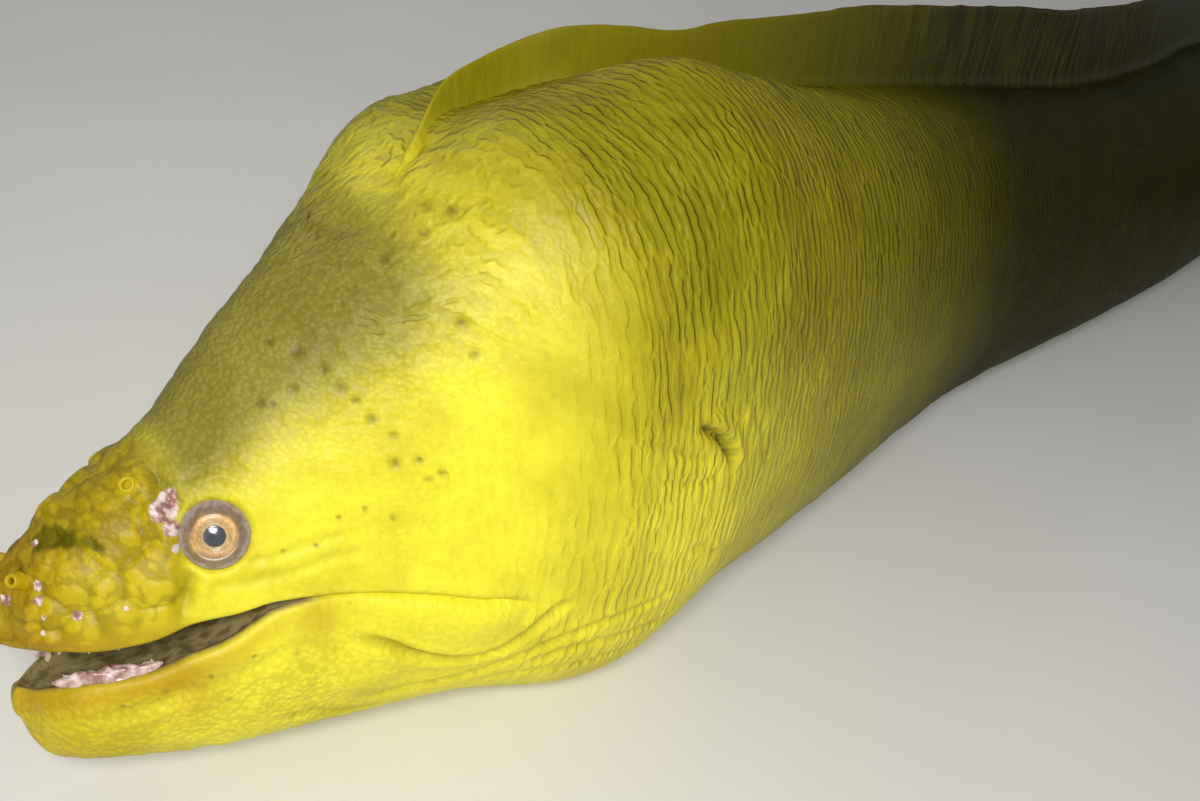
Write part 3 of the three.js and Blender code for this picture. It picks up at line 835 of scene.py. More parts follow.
@dataclass
class Skin:
    """One closed skin from the snout to the tail, with the mouth turned in.

    The upper sheet runs from the near lip over the back to the far lip, the lower sheet from the
    near lip under the belly. Behind the mouth's corner they share the crease as an edge. Inside
    the mouth a palate and a floor join the lips and close both jaws. Marks of a flank are placed
    by the distance along the spine and the angle round the section.

    Attributes:
        spacing: distance between rows of points.
        lip_height, lip_depth, lip_turn: height, depth and turn of the bead that rounds each lip.
        nose, chin: side and height of the points that close the two jaws in front.
        nose_bulge, chin_bulge: how far those points lie in front.
        chin_back: how far the tip of the lower jaw is drawn back.
        orbit: place and radius of the eye socket.
        gill, gill_turn: place and turn of the gill slit.
        fold_lean: how far the folds lean back on the crown.
        folds, fold_height: pitches of the two waves that make the folds, and their height.
        grain_height, swell, pad_height, scrape_height: heights of pebbles, of soft unevenness,
            of the snout's pad and of raw patches.
        relief_end: where the marks of the flanks end.
        crown_angle: creases that start above this angle cross the crown, and are made once.
        socket_depth, socket_rims: depth of the eye socket and height of the rims round it.
        gill_depth, gill_lips: depth of the gill slit and height of its lips.
        pits: place, radius and depth.
        scrapes: place and radius of the raw patches, on the near flank alone.
        moss: place and radius of the green stain.
        lumps, bulges: place, radius and height.
        creases: depth, width and path.
    """

    form: BodyForm
    offset: Array
    upper_columns: int = 148
    lower_columns: int = 72
    bead_columns: int = 7
    cap_rows: int = 7
    tail_cap_rows: int = 5
    inside_columns: int = 22
    spacing: Knots = ((0, 1.2), (100, 1.3), (200, 1.5), (270, 1.7), (340, 2.8), (500, 4.5),
                      (700, 8), (1000, 15), (1990, 18))
    lip_height: Knots = ((0, 3.4), (60, 3.2), (98, 2.8), (160, 3.0), (400, 4), (1990, 1.5))
    lip_depth: Knots = ((0, 1.8), (14, 3.2), (60, 3.2), (90, 2.6), (120, 2.0), (150, 1.0), (165, 0),
                        (1990, 0))
    lip_turn: Knots = ((0, 150), (70, 145), (98, 90), (1990, 90))
    palate_rise: float = 3.5
    floor_drop: float = 2.0
    nose_bulge: float = 5.0
    chin_bulge: float = 2.5
    chin_back: float = 4.0
    nose: tuple[float, float] = (0.0, 55.0)
    chin: tuple[float, float] = (0.0, 21.0)
    orbit: tuple[float, float, float] = (66.0, 24.0, 11.0)
    gill: tuple[float, float] = (238.0, -4.0)
    gill_turn: float = -50.0
    fold_lean: float = 34.0
    folds: tuple[float, float] = (6.4, 7.7)
    fold_height: float = 0.2
    grain_height: float = 1.2
    swell: float = 1.2
    pad_height: float = 1.2
    scrape_height: float = 0.5
    socket_depth: float = 4.5
    socket_rims: tuple[float, float] = (0.7, 0.4)
    gill_depth: float = 4.4
    gill_lips: tuple[float, float] = (2.6, 1.2)
    relief_end: float = 420.0
    crown_angle: float = 75.0
    pits: tuple[Entry, ...] = (
        (98, 64, 1.5, 0.7), (104, 54, 1.7, 0.8), (109, 45, 1.4, 0.7), (112, 38, 1.7, 0.8),
        (115, 33, 1.3, 0.6), (118, 27, 1.7, 0.9), (123, 21, 1.3, 0.6), (122, 15, 1.7, 0.9),
        (135, 8, 1.5, 0.7), (131, 8, 1.2, 0.6), (129, 13, 1.4, 0.7), (89, 49, 1.6, 0.7),
        (92, 46, 1.3, 0.6), (99, 46, 1.5, 0.7), (159, 63, 2.4, 1.0), (155, 69, 2.0, 0.8),
        (150, 62, 1.8, 0.8), (137, 62, 2.2, 0.9), (148, 36, 2.0, 1.0), (149, 28, 1.8, 0.9),
        (249, -27, 2.6, 1.6), (198, 60, 1.6, 0.8), (104, 9, 0.9, 0.4), (96, 5, 0.9, 0.4),
        (86, 8, 0.9, 0.4), (112, 8, 0.9, 0.4), (120, 3, 1.0, 0.5), (60, -18, 0.9, 0.4),
        (74, -16, 0.9, 0.4), (46, -20, 0.9, 0.4), (33, -24, 0.9, 0.4), (88, -20, 0.9, 0.4),
        (66, -30, 0.9, 0.4),
    )
    moss: tuple[Entry, ...] = (
        (15, 67, 3.6), (19, 61, 5.8), (23, 53, 5.0), (27, 47, 3.8), (31, 42, 2.4), (8, 54, 2.4),
    )
    scrapes: tuple[Entry, ...] = (
        (53, 42, 5.0), (55, 46, 3.6), (54, 34, 3.2), (54, 27, 1.7), (13, 68, 1.7), (4, 57, 1.3),
        (2, 42, 2.6), (12, 40, 2.2), (12, 32, 2.0), (22, 18, 1.9), (37, 14, 1.1), (13, 23, 1.2),
        (12, 16, 1.1),
    )
    lumps: tuple[Entry, ...] = (
        (15, 49, 7.5, 1.9), (23, 34, 12, 2.6), (15, 24, 6.5, 1.9), (36, 46, 14, 2.9),
        (46, 21, 12, 2.7), (34, 10, 9, 2.0), (8, 30, 8, 1.8), (7, 59, 8, 1.5), (24, 6, 10, 1.8),
        (34, 66, 10, 1.9), (30, 24, 8, 2.1), (52, 29, 7, 1.8), (22, 78, 9, 1.2), (45, 62, 9, 1.7),
        (12, 8, 7, 1.5), (46, 5, 8, 1.7), (3, 44, 6, 1.3), (48, 40, 7, 1.8),
    )
    bulges: tuple[Entry, ...] = (
        (146, -25, 20, 5.6), (124, -18, 13, 2.2), (113, -35, 14, 4.2), (90, -32, 12, 1.2),
        (24, -40, 13, 2.0), (12, -28, 9, 1.4), (176, 13, 2.6, 1.3), (182, -6, 26, 1.6),
        (85, 20, 22, 1.0), (232, 8, 14, 1.8),
    )
    creases: tuple[tuple[float, float, Knots], ...] = (
        (2.8, 2.5, ((50, 70), (53, 58), (55, 48), (57, 35), (58, 25), (57, 16), (54, 8), (50, 1))),
        (0.8, 1.8, ((59, 10), (71, 6), (88, 1), (102, 0), (115, -2))),
        (0.6, 1.5, ((70, 14), (82, 8), (96, 6), (108, 4))),
        (3.4, 2.0, ((102, -20), (112, -23), (118, -26), (124, -30), (131, -34),
                    (139, -37), (149, -39), (159, -38), (167, -32), (173, -27), (184, -24))),
        (1.7, 1.8, ((106, -45), (120, -48), (139, -50), (154, -49), (168, -43), (178, -37),
                    (191, -33), (216, -30), (238, -27))),
        (1.3, 1.8, ((80, -48), (96, -51), (112, -57), (134, -62))),
        (1.4, 2.0, ((170, -48), (181, -42), (195, -39), (224, -38), (258, -40))),
        (1.2, 2.0, ((150, -58), (175, -52), (205, -46), (240, -45))),
        (0.9, 2.6, ((20, -24), (35, -27), (50, -22), (66, -20), (82, -18), (98, -19))),
        (0.9, 1.4, ((192, 1), (206, -1), (220, -3), (234, -5))),
        (1.0, 1.4, ((196, -5), (210, -6), (229, -8), (240, -8))),
        (0.8, 1.8, ((250, 2), (264, -6), (276, -15))),
        (0.9, 1.8, ((228, -20), (241, -22), (256, -30))),
        (0.8, 1.3, ((168, 57), (171, 46), (176, 38), (180, 27), (185, 19))),
        (2.0, 2.2, ((146, 78), (154, 83), (161, 87), (171, 90), (184, 94), (198, 97))),
        (0.9, 2.4, ((206, 80), (224, 68), (249, 57), (280, 52))),
        (0.8, 2.2, ((262, 14), (290, 4), (320, -4))),
        (0.7, 1.5, ((60, 46), (66, 46), (74, 42), (80, 34))),
    )

    def rows(self) -> Array:
        """Distances of the rows, closer together on the head.

        Returns:
            Distances along the spine.
        """
        s = np.linspace(0, self.form.length, 20001)
        run = np.concatenate([[0], np.cumsum(np.diff(s) / curve(self.spacing, s[1:]))])
        made = np.interp(np.linspace(0, run[-1], int(run[-1]) + 1), run, s)
        made[np.argmin(np.abs(made - self.form.corner))] = self.form.corner
        return made

    def sheet(self, s: Array, upper: bool) -> Array:
        """Side and height of one sheet: a lip bead, the flank at equal arcs, the far lip bead.

        A bead is an arc whose outermost point touches the flank. Past the crease it lies flat
        on the flank.

        Args:
            s: distances of the rows.
            upper: the sheet over the back, or the one under the belly.

        Returns:
            Array of (rows, columns, 2) with side and height.
        """
        form = self.form
        sign = 1.0 if upper else -1.0
        lip = curve(form.lip_upper, s) - (0 if upper else curve(form.lip_gap, s))
        tall, deep = curve(self.lip_height, s)[:, None], curve(self.lip_depth, s)[:, None]
        touch = form.angle_at(s, lip + sign * tall[:, 0])
        whole = 180 - 2 * touch if upper else -(180 + 2 * touch)
        dense = touch[:, None] + whole[:, None] * np.linspace(0, 1, 721)[None]
        side, height = form.section(s[:, None], dense)
        count = (self.upper_columns if upper else self.lower_columns) - 2 * self.bead_columns
        t = np.linspace(0, 1, count)
        flank = resample(np.stack([side, height], -1), t - 0.16 * np.sin(np.pi * t))
        turn = np.radians(curve(self.lip_turn, s))[:, None]
        phi = turn * np.linspace(1, 0, self.bead_columns + 1)[None, :-1]
        bead_height = lip[:, None] + sign * tall * (1 - np.sin(phi))
        skin_angle = form.angle_at(s[:, None], bead_height)
        bead_side = form.section(s[:, None], skin_angle)[0] - deep * (1 - np.cos(phi))
        bead = np.stack([bead_side, bead_height], -1)
        far = bead[:, ::-1] * np.array([-1.0, 1.0])
        return np.concatenate([bead, flank, far], 1)

    def inside(self, edge: Array, s: Array, sign: float) -> Array:
        """Palate or mouth floor: a sine arch between the two lip edges, flat at the corner.

        Args:
            edge: side and height of the sheet that it closes.
            s: distances of the rows.
            sign: 1 for the palate, -1 for the floor.

        Returns:
            Side and height, (rows, columns, 2).
        """
        t = np.linspace(0, np.pi, self.inside_columns)[None]
        side = edge[:, :1, 0] * np.cos(t)
        deep = self.palate_rise if sign > 0 else self.floor_drop
        deep = deep * ramp(s, 4, 22) * (1 - ramp(s, 60, 96))
        height = edge[:, :1, 1] + sign * deep[:, None] * np.sin(t)
        return np.stack([side, height], -1)

    def capped(self, flat: Array, s: Array, centre: tuple[float, float], bulge: float) -> Array:
        """Adds rows in front that close a sheet on one point, as part of an ellipsoid.

        Args:
            flat: side and height of the sheet, (rows, columns, 2).
            s: distances of the rows.
            centre: side and height of the closing point.
            bulge: how far the point lies in front of the first row.

        Returns:
            Spine coordinates (rows + cap, columns, 3).
        """
        t = np.linspace(np.pi / 2, 0, self.cap_rows, endpoint=False)[:, None, None]
        mid = np.array(centre)
        front = mid + (flat[:1] - mid) * np.cos(t)
        ahead = np.broadcast_to(-bulge * np.sin(t), front.shape[:2] + (1,))
        body = np.concatenate([np.broadcast_to(s[:, None, None], flat.shape[:2] + (1,)), flat], 2)
        return np.concatenate([np.concatenate([ahead, front], 2), body])

    def tail_closed(self, straight: Array) -> Array:
        """Adds rows behind the last one that close the tail as half an ellipsoid.

        Args:
            straight: spine coordinates of the sheet.

        Returns:
            The same with the rows.
        """
        last = straight[-1:]
        mid = np.array([0, 0, last[0, :, 2].max() / 2])
        t = np.linspace(0, np.pi / 2, self.tail_cap_rows + 1)[1:, None, None]
        made = mid + (last * np.array([0, 1, 1]) - mid) * np.cos(t)
        made[..., 0] = last[..., 0] + 3 * np.sin(t[..., 0])
        return np.concatenate([straight, made])

    def normals(self, p: Array) -> Array:
        """Unit normals from the differences between neighbouring rows and columns."""
        n = np.cross(np.gradient(p, axis=1), np.gradient(p, axis=0))
        return n / np.maximum(np.linalg.norm(n, axis=2, keepdims=True), 1e-9)

    def away(self, p: Array, path: Knots, flank: Side) -> tuple[Array, Array]:
        """Distance of every point from a line drawn on a flank, and the line's fade at its ends.

        Args:
            p: points.
            path: distances and angles of the line.
            flank: which flank.

        Returns:
            Distance and fade for every point.
        """
        m = np.array(path, float)
        t = np.linspace(0, len(m) - 1, 7 * len(m))
        at = np.arange(len(m))
        line = self.form.surface(np.interp(t, at, m[:, 0]), np.interp(t, at, m[:, 1]), flank)
        squares = ((p[:, None, :] - line) ** 2).sum(-1)
        part = squares.argmin(1) / (len(t) - 1)
        return np.sqrt(squares.min(1)), ramp(part, 0, 0.2) * (1 - ramp(part, 0.8, 1))

    def reach(self, p: Array, s: float, angle: float, flank: Side = Side.NEAR) -> Array:
        """Distance of every point from a point of a flank."""
        point = self.form.surface(np.array([s]), np.array([angle]), flank)[0]
        return np.linalg.norm(p - point, axis=1)

    def flow(self, straight: Array) -> Array:
        """Coordinates that follow the folds: across them, along them and over the back.

        The folds are rings round the body, which lean back down the crown.

        Args:
            straight: spine coordinates.

        Returns:
            The coordinates in millimetres, of the same shape.
        """
        s, side, height = straight[..., 0], straight[..., 1], straight[..., 2]
        middle = curve(self.form.back, s) * curve(self.form.widest, s)
        along = np.arctan2(height - middle, np.abs(side)) * 76
        across = s + self.fold_lean * ramp(along, 35, 95) * (1 - ramp(s, 118, 190))
        return np.stack([across, along, side], -1)

    def relief(self, p: Array, straight: Array) -> tuple[Array, dict[str, Array]]:
        """Height of the relief over the plain form, and the marks that the material reads.

        Folds are two sine waves across the flow of the skin, shifted by noise. Creases and pits
        are bells about lines and points of the flank, and lumps are domes that meet in valleys.

        Args:
            p: points of the sheet.
            straight: their spine coordinates.

        Returns:
            The height in millimetres, and named values.
        """
        form = self.form
        s, height, side = straight[..., 0], straight[..., 2], straight[..., 1]
        rest = np.array([7.3, 3.1, 9.7])
        flow = self.flow(straight)
        up = height / np.maximum(curve(form.back, s), 1)
        shift = 7 * lattice_noise(flow / np.array([16, 26, 26]) + rest, 1)
        shift2 = 7 * lattice_noise(flow / np.array([14, 21, 21]) + 2 * rest, 2)
        wave = np.sin(2 * np.pi * flow[..., 0] / self.folds[0] + shift)
        wave += np.sin(2 * np.pi * (flow[..., 0] + 0.12 * flow[..., 1]) / self.folds[1] + shift2)
        broken = lattice_noise(flow / np.array([10, 17, 17]) + 3 * rest, 3)
        wave *= 0.3 + 0.8 * ramp(broken, 0.25, 0.7)
        soft = lattice_noise(straight / 26 + rest, 4) - 0.5
        knob = lattice_noise(straight / np.array([4.2, 4.6, 4.6]) + rest, 5)
        high = ramp(up, 0.35, 0.6)
        folded = np.maximum(ramp(s + 24 * (1 - high), 150, 215), 0.22 * ramp(s, 70, 120))
        folded *= 0.7 + 0.3 * high
        folded = np.maximum(folded, 1.15 * ramp(s, 104, 140) * ramp(up, 0.72, 0.86))
        pad = (1 - ramp(s, 50, 57)) * ramp(up, 0.5, 0.6)
        grain = ramp(up, 0.66, 0.82) + (1 - ramp(up, 0.24, 0.38)) * (1 - 0.8 * ramp(s, 92, 124))
        grain = np.clip(0.3 + 0.7 * grain, 0, 1) * (1 - 0.4 * pad) * (1 - 0.85 * ramp(s, 120, 200))
        far = 1 - 0.6 * ramp(s, 500, 900)
        raised = folded * far * self.fold_height * wave + grain * self.grain_height * (knob - 0.5)
        raised += self.swell * soft * ramp(s, 10, 60) + self.pad_height * pad * ramp(s, 2, 16)
        close = s < self.relief_end
        q = p[close]
        add, shade, raw = np.zeros(len(q)), np.zeros(len(q)), np.zeros(len(q))
        for flank in Side:
            mine = side[close] * flank.value > -12
            more, darker = self.marks(q[mine], pad[close][mine], flank)
            add[mine] += more
            shade[mine] = np.maximum(shade[mine], darker)
        for at, angle, wide in self.scrapes:
            raw = np.maximum(raw, bell(self.reach(q, at, angle), wide))
        add += self.scrape_height * raw
        raised[close] += add
        # Painted shade in pits, creases, the gill slit and valleys between lumps, for the material.
        dark, red = np.zeros(s.shape), np.zeros(s.shape)
        dark[close], red[close] = shade, raw
        return raised, {"dark": dark, "raw": red, "folded": folded, "pad": pad,
                        "grain": grain, "flow": flow * MM}

    def socket(self, q: Array, flank: Side) -> tuple[Array, Array]:
        """Eye socket: a round step down with two bell-shaped rims round it.

        Args:
            q: points of the skin.
            flank: which flank.

        Returns:
            Height in millimetres, and 1 where other marks are clear of the socket.
        """
        eye, wide = self.form.frame_at(self.orbit[0], self.orbit[1], flank), self.orbit[2]
        d = q - np.array(eye.translation)
        out = d @ np.array(eye.col[2][:3])
        r = np.sqrt(np.maximum((d ** 2).sum(1) - out ** 2, 0))
        clear = np.where(np.abs(out) < 20, ramp(r, wide + 1, wide + 5), 1.0)
        sunk = (1 - clear) * self.socket_depth * (1 - ramp(r, wide - 0.6, wide + 1.6))
        near, (first, second) = np.abs(out) < 14, self.socket_rims
        rims = near * first * bell(r - wide - 2.6, 1.8), near * second * bell(r - wide - 8, 1.6)
        return -sunk + rims[0] + rims[1], clear

    def slit(self, q: Array, flank: Side) -> tuple[Array, Array]:
        """Gill slit: a bent groove between two soft lips, all of them bells, faded at its ends.

        Args:
            q: points of the skin.
            flank: which flank.

        Returns:
            Height in millimetres and painted shade in the groove.
        """
        gill = self.form.frame_at(self.gill[0], self.gill[1], flank)
        d = q - np.array(gill.translation)
        x, y, out = (d @ np.array(gill.col[k][:3]) for k in range(3))
        a = math.radians(self.gill_turn)
        u, v = x * math.cos(a) + y * math.sin(a), -x * math.sin(a) + y * math.cos(a)
        v = v + 0.012 * u ** 2 - 1.5
        here = (np.abs(out) < 30) * (1 - ramp(np.abs(u), 13, 20))
        front, rear = self.gill_lips
        # The second value is painted shade along the groove.
        return here * (front * bell(v - 4.5, 3.0) + rear * bell(v + 4.5, 3.5)
                       - self.gill_depth * bell(v, 2.0)), here * bell(v, 1.3)

    def domes(self, q: Array, flank: Side) -> tuple[Array, Array]:
        """Lumps of the snout: domes of one less the square of the distance, uneven by noise.

        Args:
            q: points of the skin.
            flank: which flank.

        Returns:
            Height of the tallest dome in millimetres, and 1 in the valleys between two.
        """
        tallest, second = np.zeros(len(q)), np.zeros(len(q))
        wobble = 0.8 + 0.4 * lattice_noise(q / 5.0, 9)
        for at, angle, wide, tall in self.lumps:
            r = self.reach(q, at, angle, flank) * wobble
            dome = tall * np.clip(1 - (r / wide) ** 2, 0, 1)
            second = np.maximum(second, np.minimum(tallest, dome))
            tallest = np.maximum(tallest, dome)
        return tallest, bell(tallest - second, 0.4)

    def marks(self, q: Array, pad: Array, flank: Side) -> tuple[Array, Array]:
        """Relief of the eye socket, gill, pits, creases and lumps of one flank, and painted shade in
        the gill slit, pits, creases and valleys between lumps.

        Args:
            q: points of the skin.
            pad: 1 on the snout's swollen pad.
            flank: which flank.

        Returns:
            Height in millimetres and painted shade for every point.
        """
        add, clear = self.socket(q, flank)
        cut, shade = self.slit(q, flank)
        add += cut
        for at, angle, wide, deep in self.pits:
            r = self.reach(q, at, angle, flank)
            add -= deep * bell(r, wide)
            add += 0.35 * deep * bell(r - 2 * wide, wide)
            # Painted shade in the pit.
            shade = np.maximum(shade, 0.75 * bell(r, wide * 0.95))
        for deep, wide, path in self.creases:
            if flank is Side.FAR and path[0][1] > self.crown_angle:
                continue
            d, fade = self.away(q, path, flank)
            deep = deep * fade * clear
            add += deep * (0.35 * bell(d - 2.2 * wide, wide) - bell(d, wide))
            # Painted shade along the crease.
            shade = np.maximum(shade, 0.16 * deep * bell(d, 0.8 * wide))
        dome, valley = self.domes(q, flank)
        seam = pad * clear * valley
        add += clear * dome - 0.5 * seam
        # Painted shade in the valleys between lumps.
        shade = np.maximum(shade, 0.3 * seam)
        for at, angle, wide, tall in self.bulges:
            add += clear * tall * bell(self.reach(q, at, angle, flank), wide)
        return add, shade

    def spot(self, straight: Array, s: float, angle: float) -> Array:
        """Distance of every point from a point of either flank, in spine coordinates.

        Args:
            straight: spine coordinates.
            s: distance of the point along the spine.
            angle: its angle round the section.

        Returns:
            The distances.
        """
        side, height = self.form.section(np.array(s), np.array(angle))
        away = np.abs(straight[..., 1]) - side
        return np.sqrt((straight[..., 0] - s) ** 2 + away ** 2 + (straight[..., 2] - height) ** 2)

    def tone(self, straight: Array) -> Array:
        """Base colour: lemon on the cheek, ochre on the snout, olive on the back and the tail, and
        painted shade that darkens the body behind the head to near black.

        Args:
            straight: spine coordinates.

        Returns:
            Scene colours, (..., 3).
        """
        s, height = straight[..., 0], straight[..., 2]
        up = height / np.maximum(curve(self.form.back, s), 1)
        patch = lattice_noise(straight / 34 + 4.2, 7)
        fine = lattice_noise(straight / 3.4 + 9.1, 8)
        colour = np.tile(rgb(*Tone.LEMON.value)[:3], s.shape + (1,))

        def over(share: Array, tone: Tone) -> None:
            """Lays a share of another tone over the colour."""
            other = np.array(rgb(*tone.value)[:3])
            colour[:] = colour + (other - colour) * np.clip(share, 0, 1)[..., None]

        line, gap = curve(self.form.lip_upper, s), curve(self.form.lip_gap, s)
        above = height - line
        jaw = ramp(0.34 - up, 0, 0.08)
        jaw_only = (height < line - 0.5 * gap) * 1.0
        over((1 - ramp(s, 50, 60)) * (1 - jaw) * (0.72 + 0.5 * patch), Tone.OCHRE)
        over((1 - ramp(s, 26, 60)) * jaw * (0.5 + 0.6 * patch), Tone.OCHRE)
        over((1 - ramp(s, 4, 30)) * (0.2 + ramp(patch, 0.5, 0.8)) * 0.5, Tone.RUST)
        over(ramp(up, 0.72, 0.9) * (1 - ramp(s, 130, 170)) * ramp(s, 44, 64) * 0.95, Tone.TAN)
        over(ramp(up, 0.6, 0.95) * ramp(s, 150, 225) * 0.75, Tone.OLIVE)
        over(ramp(s, 150, 216) * ramp(up, 0.4, 0.66) * (0.6 + 0.5 * patch), Tone.GOLD)
        over(ramp(up, 0.8, 0.98) * ramp(s, 130, 190) * (1 - ramp(s, 300, 400)) * 0.5, Tone.OLIVE)
        over(ramp(s, 215, 350) * 0.7, Tone.OLIVE)
        # Painted shade: the body darkens to near black behind the head, as light falling off along it.
        over(ramp(s, 258, 570) * 0.96, Tone.PAINTED_FALLOFF_SHADE)
        over(ramp(s, 900, 1300) * 0.3, Tone.OLIVE)
        green = np.zeros(s.shape)
        for at, angle, wide in self.moss:
            green = np.maximum(green, bell(self.spot(straight, at, angle), wide))
        over(0.8 * ramp(green + 0.9 * (fine - 0.5), 0.3, 0.72), Tone.MOSS)
        over(bell(np.hypot(s - 96, (up - 0.36) * 110), 7) * 0.4, Tone.RUST)
        over(bell(np.hypot(s - 56, (up - 0.26) * 90), 9) * 0.4, Tone.RUST)
        over(bell(height - (line - gap) + 5, 5) * jaw_only * (1 - ramp(s, 64, 104)) * 0.5, Tone.RUST)
        over(bell(above - 3, 4) * (1 - jaw_only) * (1 - ramp(s, 24, 64)) * (0.2 + patch), Tone.RUST)
        return colour

    def shares(self, straight: Array) -> tuple[Array, Array]:
        """Shares of the relief and of the mouth's lining, as smooth steps.

        The relief fades out at the lips, the snout tip and the tail tip. The lining covers the
        inner part of each lip's bead.

        Args:
            straight: spine coordinates of a sheet.

        Returns:
            Both shares at each point.
        """
        s, columns = straight[..., 0], np.arange(straight.shape[1])
        edge = np.minimum(columns, columns[::-1]) / self.bead_columns
        shut = np.clip(0.02 + ramp(edge, 0.2, 1.4)[None], 0, 1)
        blend = ramp(s, 150, 175)
        mask = shut * (1 - blend) + blend
        mask[:, 0] = mask[:, -1] = blend[:, 0]
        mask = mask * ramp(s, 0, 8) * (1 - ramp(s, 1960, 1990))
        return mask, (1 - ramp(edge, 0.25, 0.75))[None] * (1 - ramp(s, 90, 100))

    def finished(self, p: Array, straight: Array, normal: Array) -> Patch:
        """Raises the relief on a sheet and gathers its values.

        Args:
            p: points of the sheet.
            straight: their spine coordinates.
            normal: their normals.

        Returns:
            The patch.
        """
        mask, lining = self.shares(straight)
        raised, values = self.relief(p, straight)
        values["tone"] = self.tone(straight)
        values["lining"] = lining
        moved = p + normal * (raised * mask)[..., None]
        moved[..., 2] = np.maximum(moved[..., 2], 0)
        return Patch(moved, straight, values)

    def build(self, material: bpy.types.Material) -> bpy.types.Object:
        """Lays the sheets, raises their relief and welds them.

        Args:
            material: finish of the skin.

        Returns:
            The piece, which replaces the head, the jaw and every length of the body.
        """
        form = self.form
        s = self.rows()
        ends = int(np.argmax(s >= form.corner)) + 1
        cap = self.cap_rows
        upper, lower = self.sheet(s, True), self.sheet(s, False)
        shared = (upper[ends - 1:, 0] + lower[ends - 1:, 0]) / 2
        for sheet in (upper, lower):
            sheet[ends - 1:, 0] = shared
            sheet[ends - 1:, -1] = shared * np.array([-1.0, 1.0])
        palate = self.inside(upper[:ends], s[:ends], 1)
        floor = self.inside(lower[:ends], s[:ends], -1)
        top = self.tail_closed(self.capped(upper, s, self.nose, self.nose_bulge))
        low = self.tail_closed(self.capped(lower, s, self.chin, self.chin_bulge))
        top[-1], low[-1] = top[-1, 0], top[-1, 0]
        roof = self.capped(palate, s[:ends], self.nose, self.nose_bulge)
        bed = self.capped(floor, s[:ends], self.chin, self.chin_bulge)
        for sheet in (low, bed):
            sheet[..., 0] += self.chin_back * (1 - ramp(sheet[..., 0], 0, 30))
        placed = [form.place(a[..., 0], a[..., 1], a[..., 2]) for a in (top, low, roof, bed)]
        normals = [-self.normals(placed[0]), self.normals(placed[1])]
        row = slice(cap + ends - 1, None)
        for end in (0, -1):
            both = normals[0][row, end] + normals[1][row, end]
            both /= np.maximum(np.linalg.norm(both, axis=1, keepdims=True), 1e-9)
            normals[0][row, end] = normals[1][row, end] = both
        patches = [self.finished(*sheet) for sheet in zip(placed[:2], (top, low), normals)]
        for p, straight in zip(placed[2:], (roof, bed)):
            shape = p.shape[:2]
            patches.append(Patch(p, straight, skin_values(
                shape, grain=np.full(shape, 0.3), lining=np.ones(shape),
                tone=self.tone(straight), flow=straight * MM)))
        patches[0].flip = patches[3].flip = True
        for a, b in ((0, 2), (1, 3)):
            for end in (0, -1):
                patches[b].points[:, end] = patches[a].points[:cap + ends, end]
        patches[3].points[cap + ends - 1] = patches[2].points[cap + ends - 1]
        piece = build_mesh("skin", patches, self.offset)
        flesh = [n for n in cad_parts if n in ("head", "lower_jaw", "neck", "belly_end")
                 or n.startswith(("trunk_", "tail_")) and n != "tail_fin"]
        return dress(piece, material, flesh)


# Fins


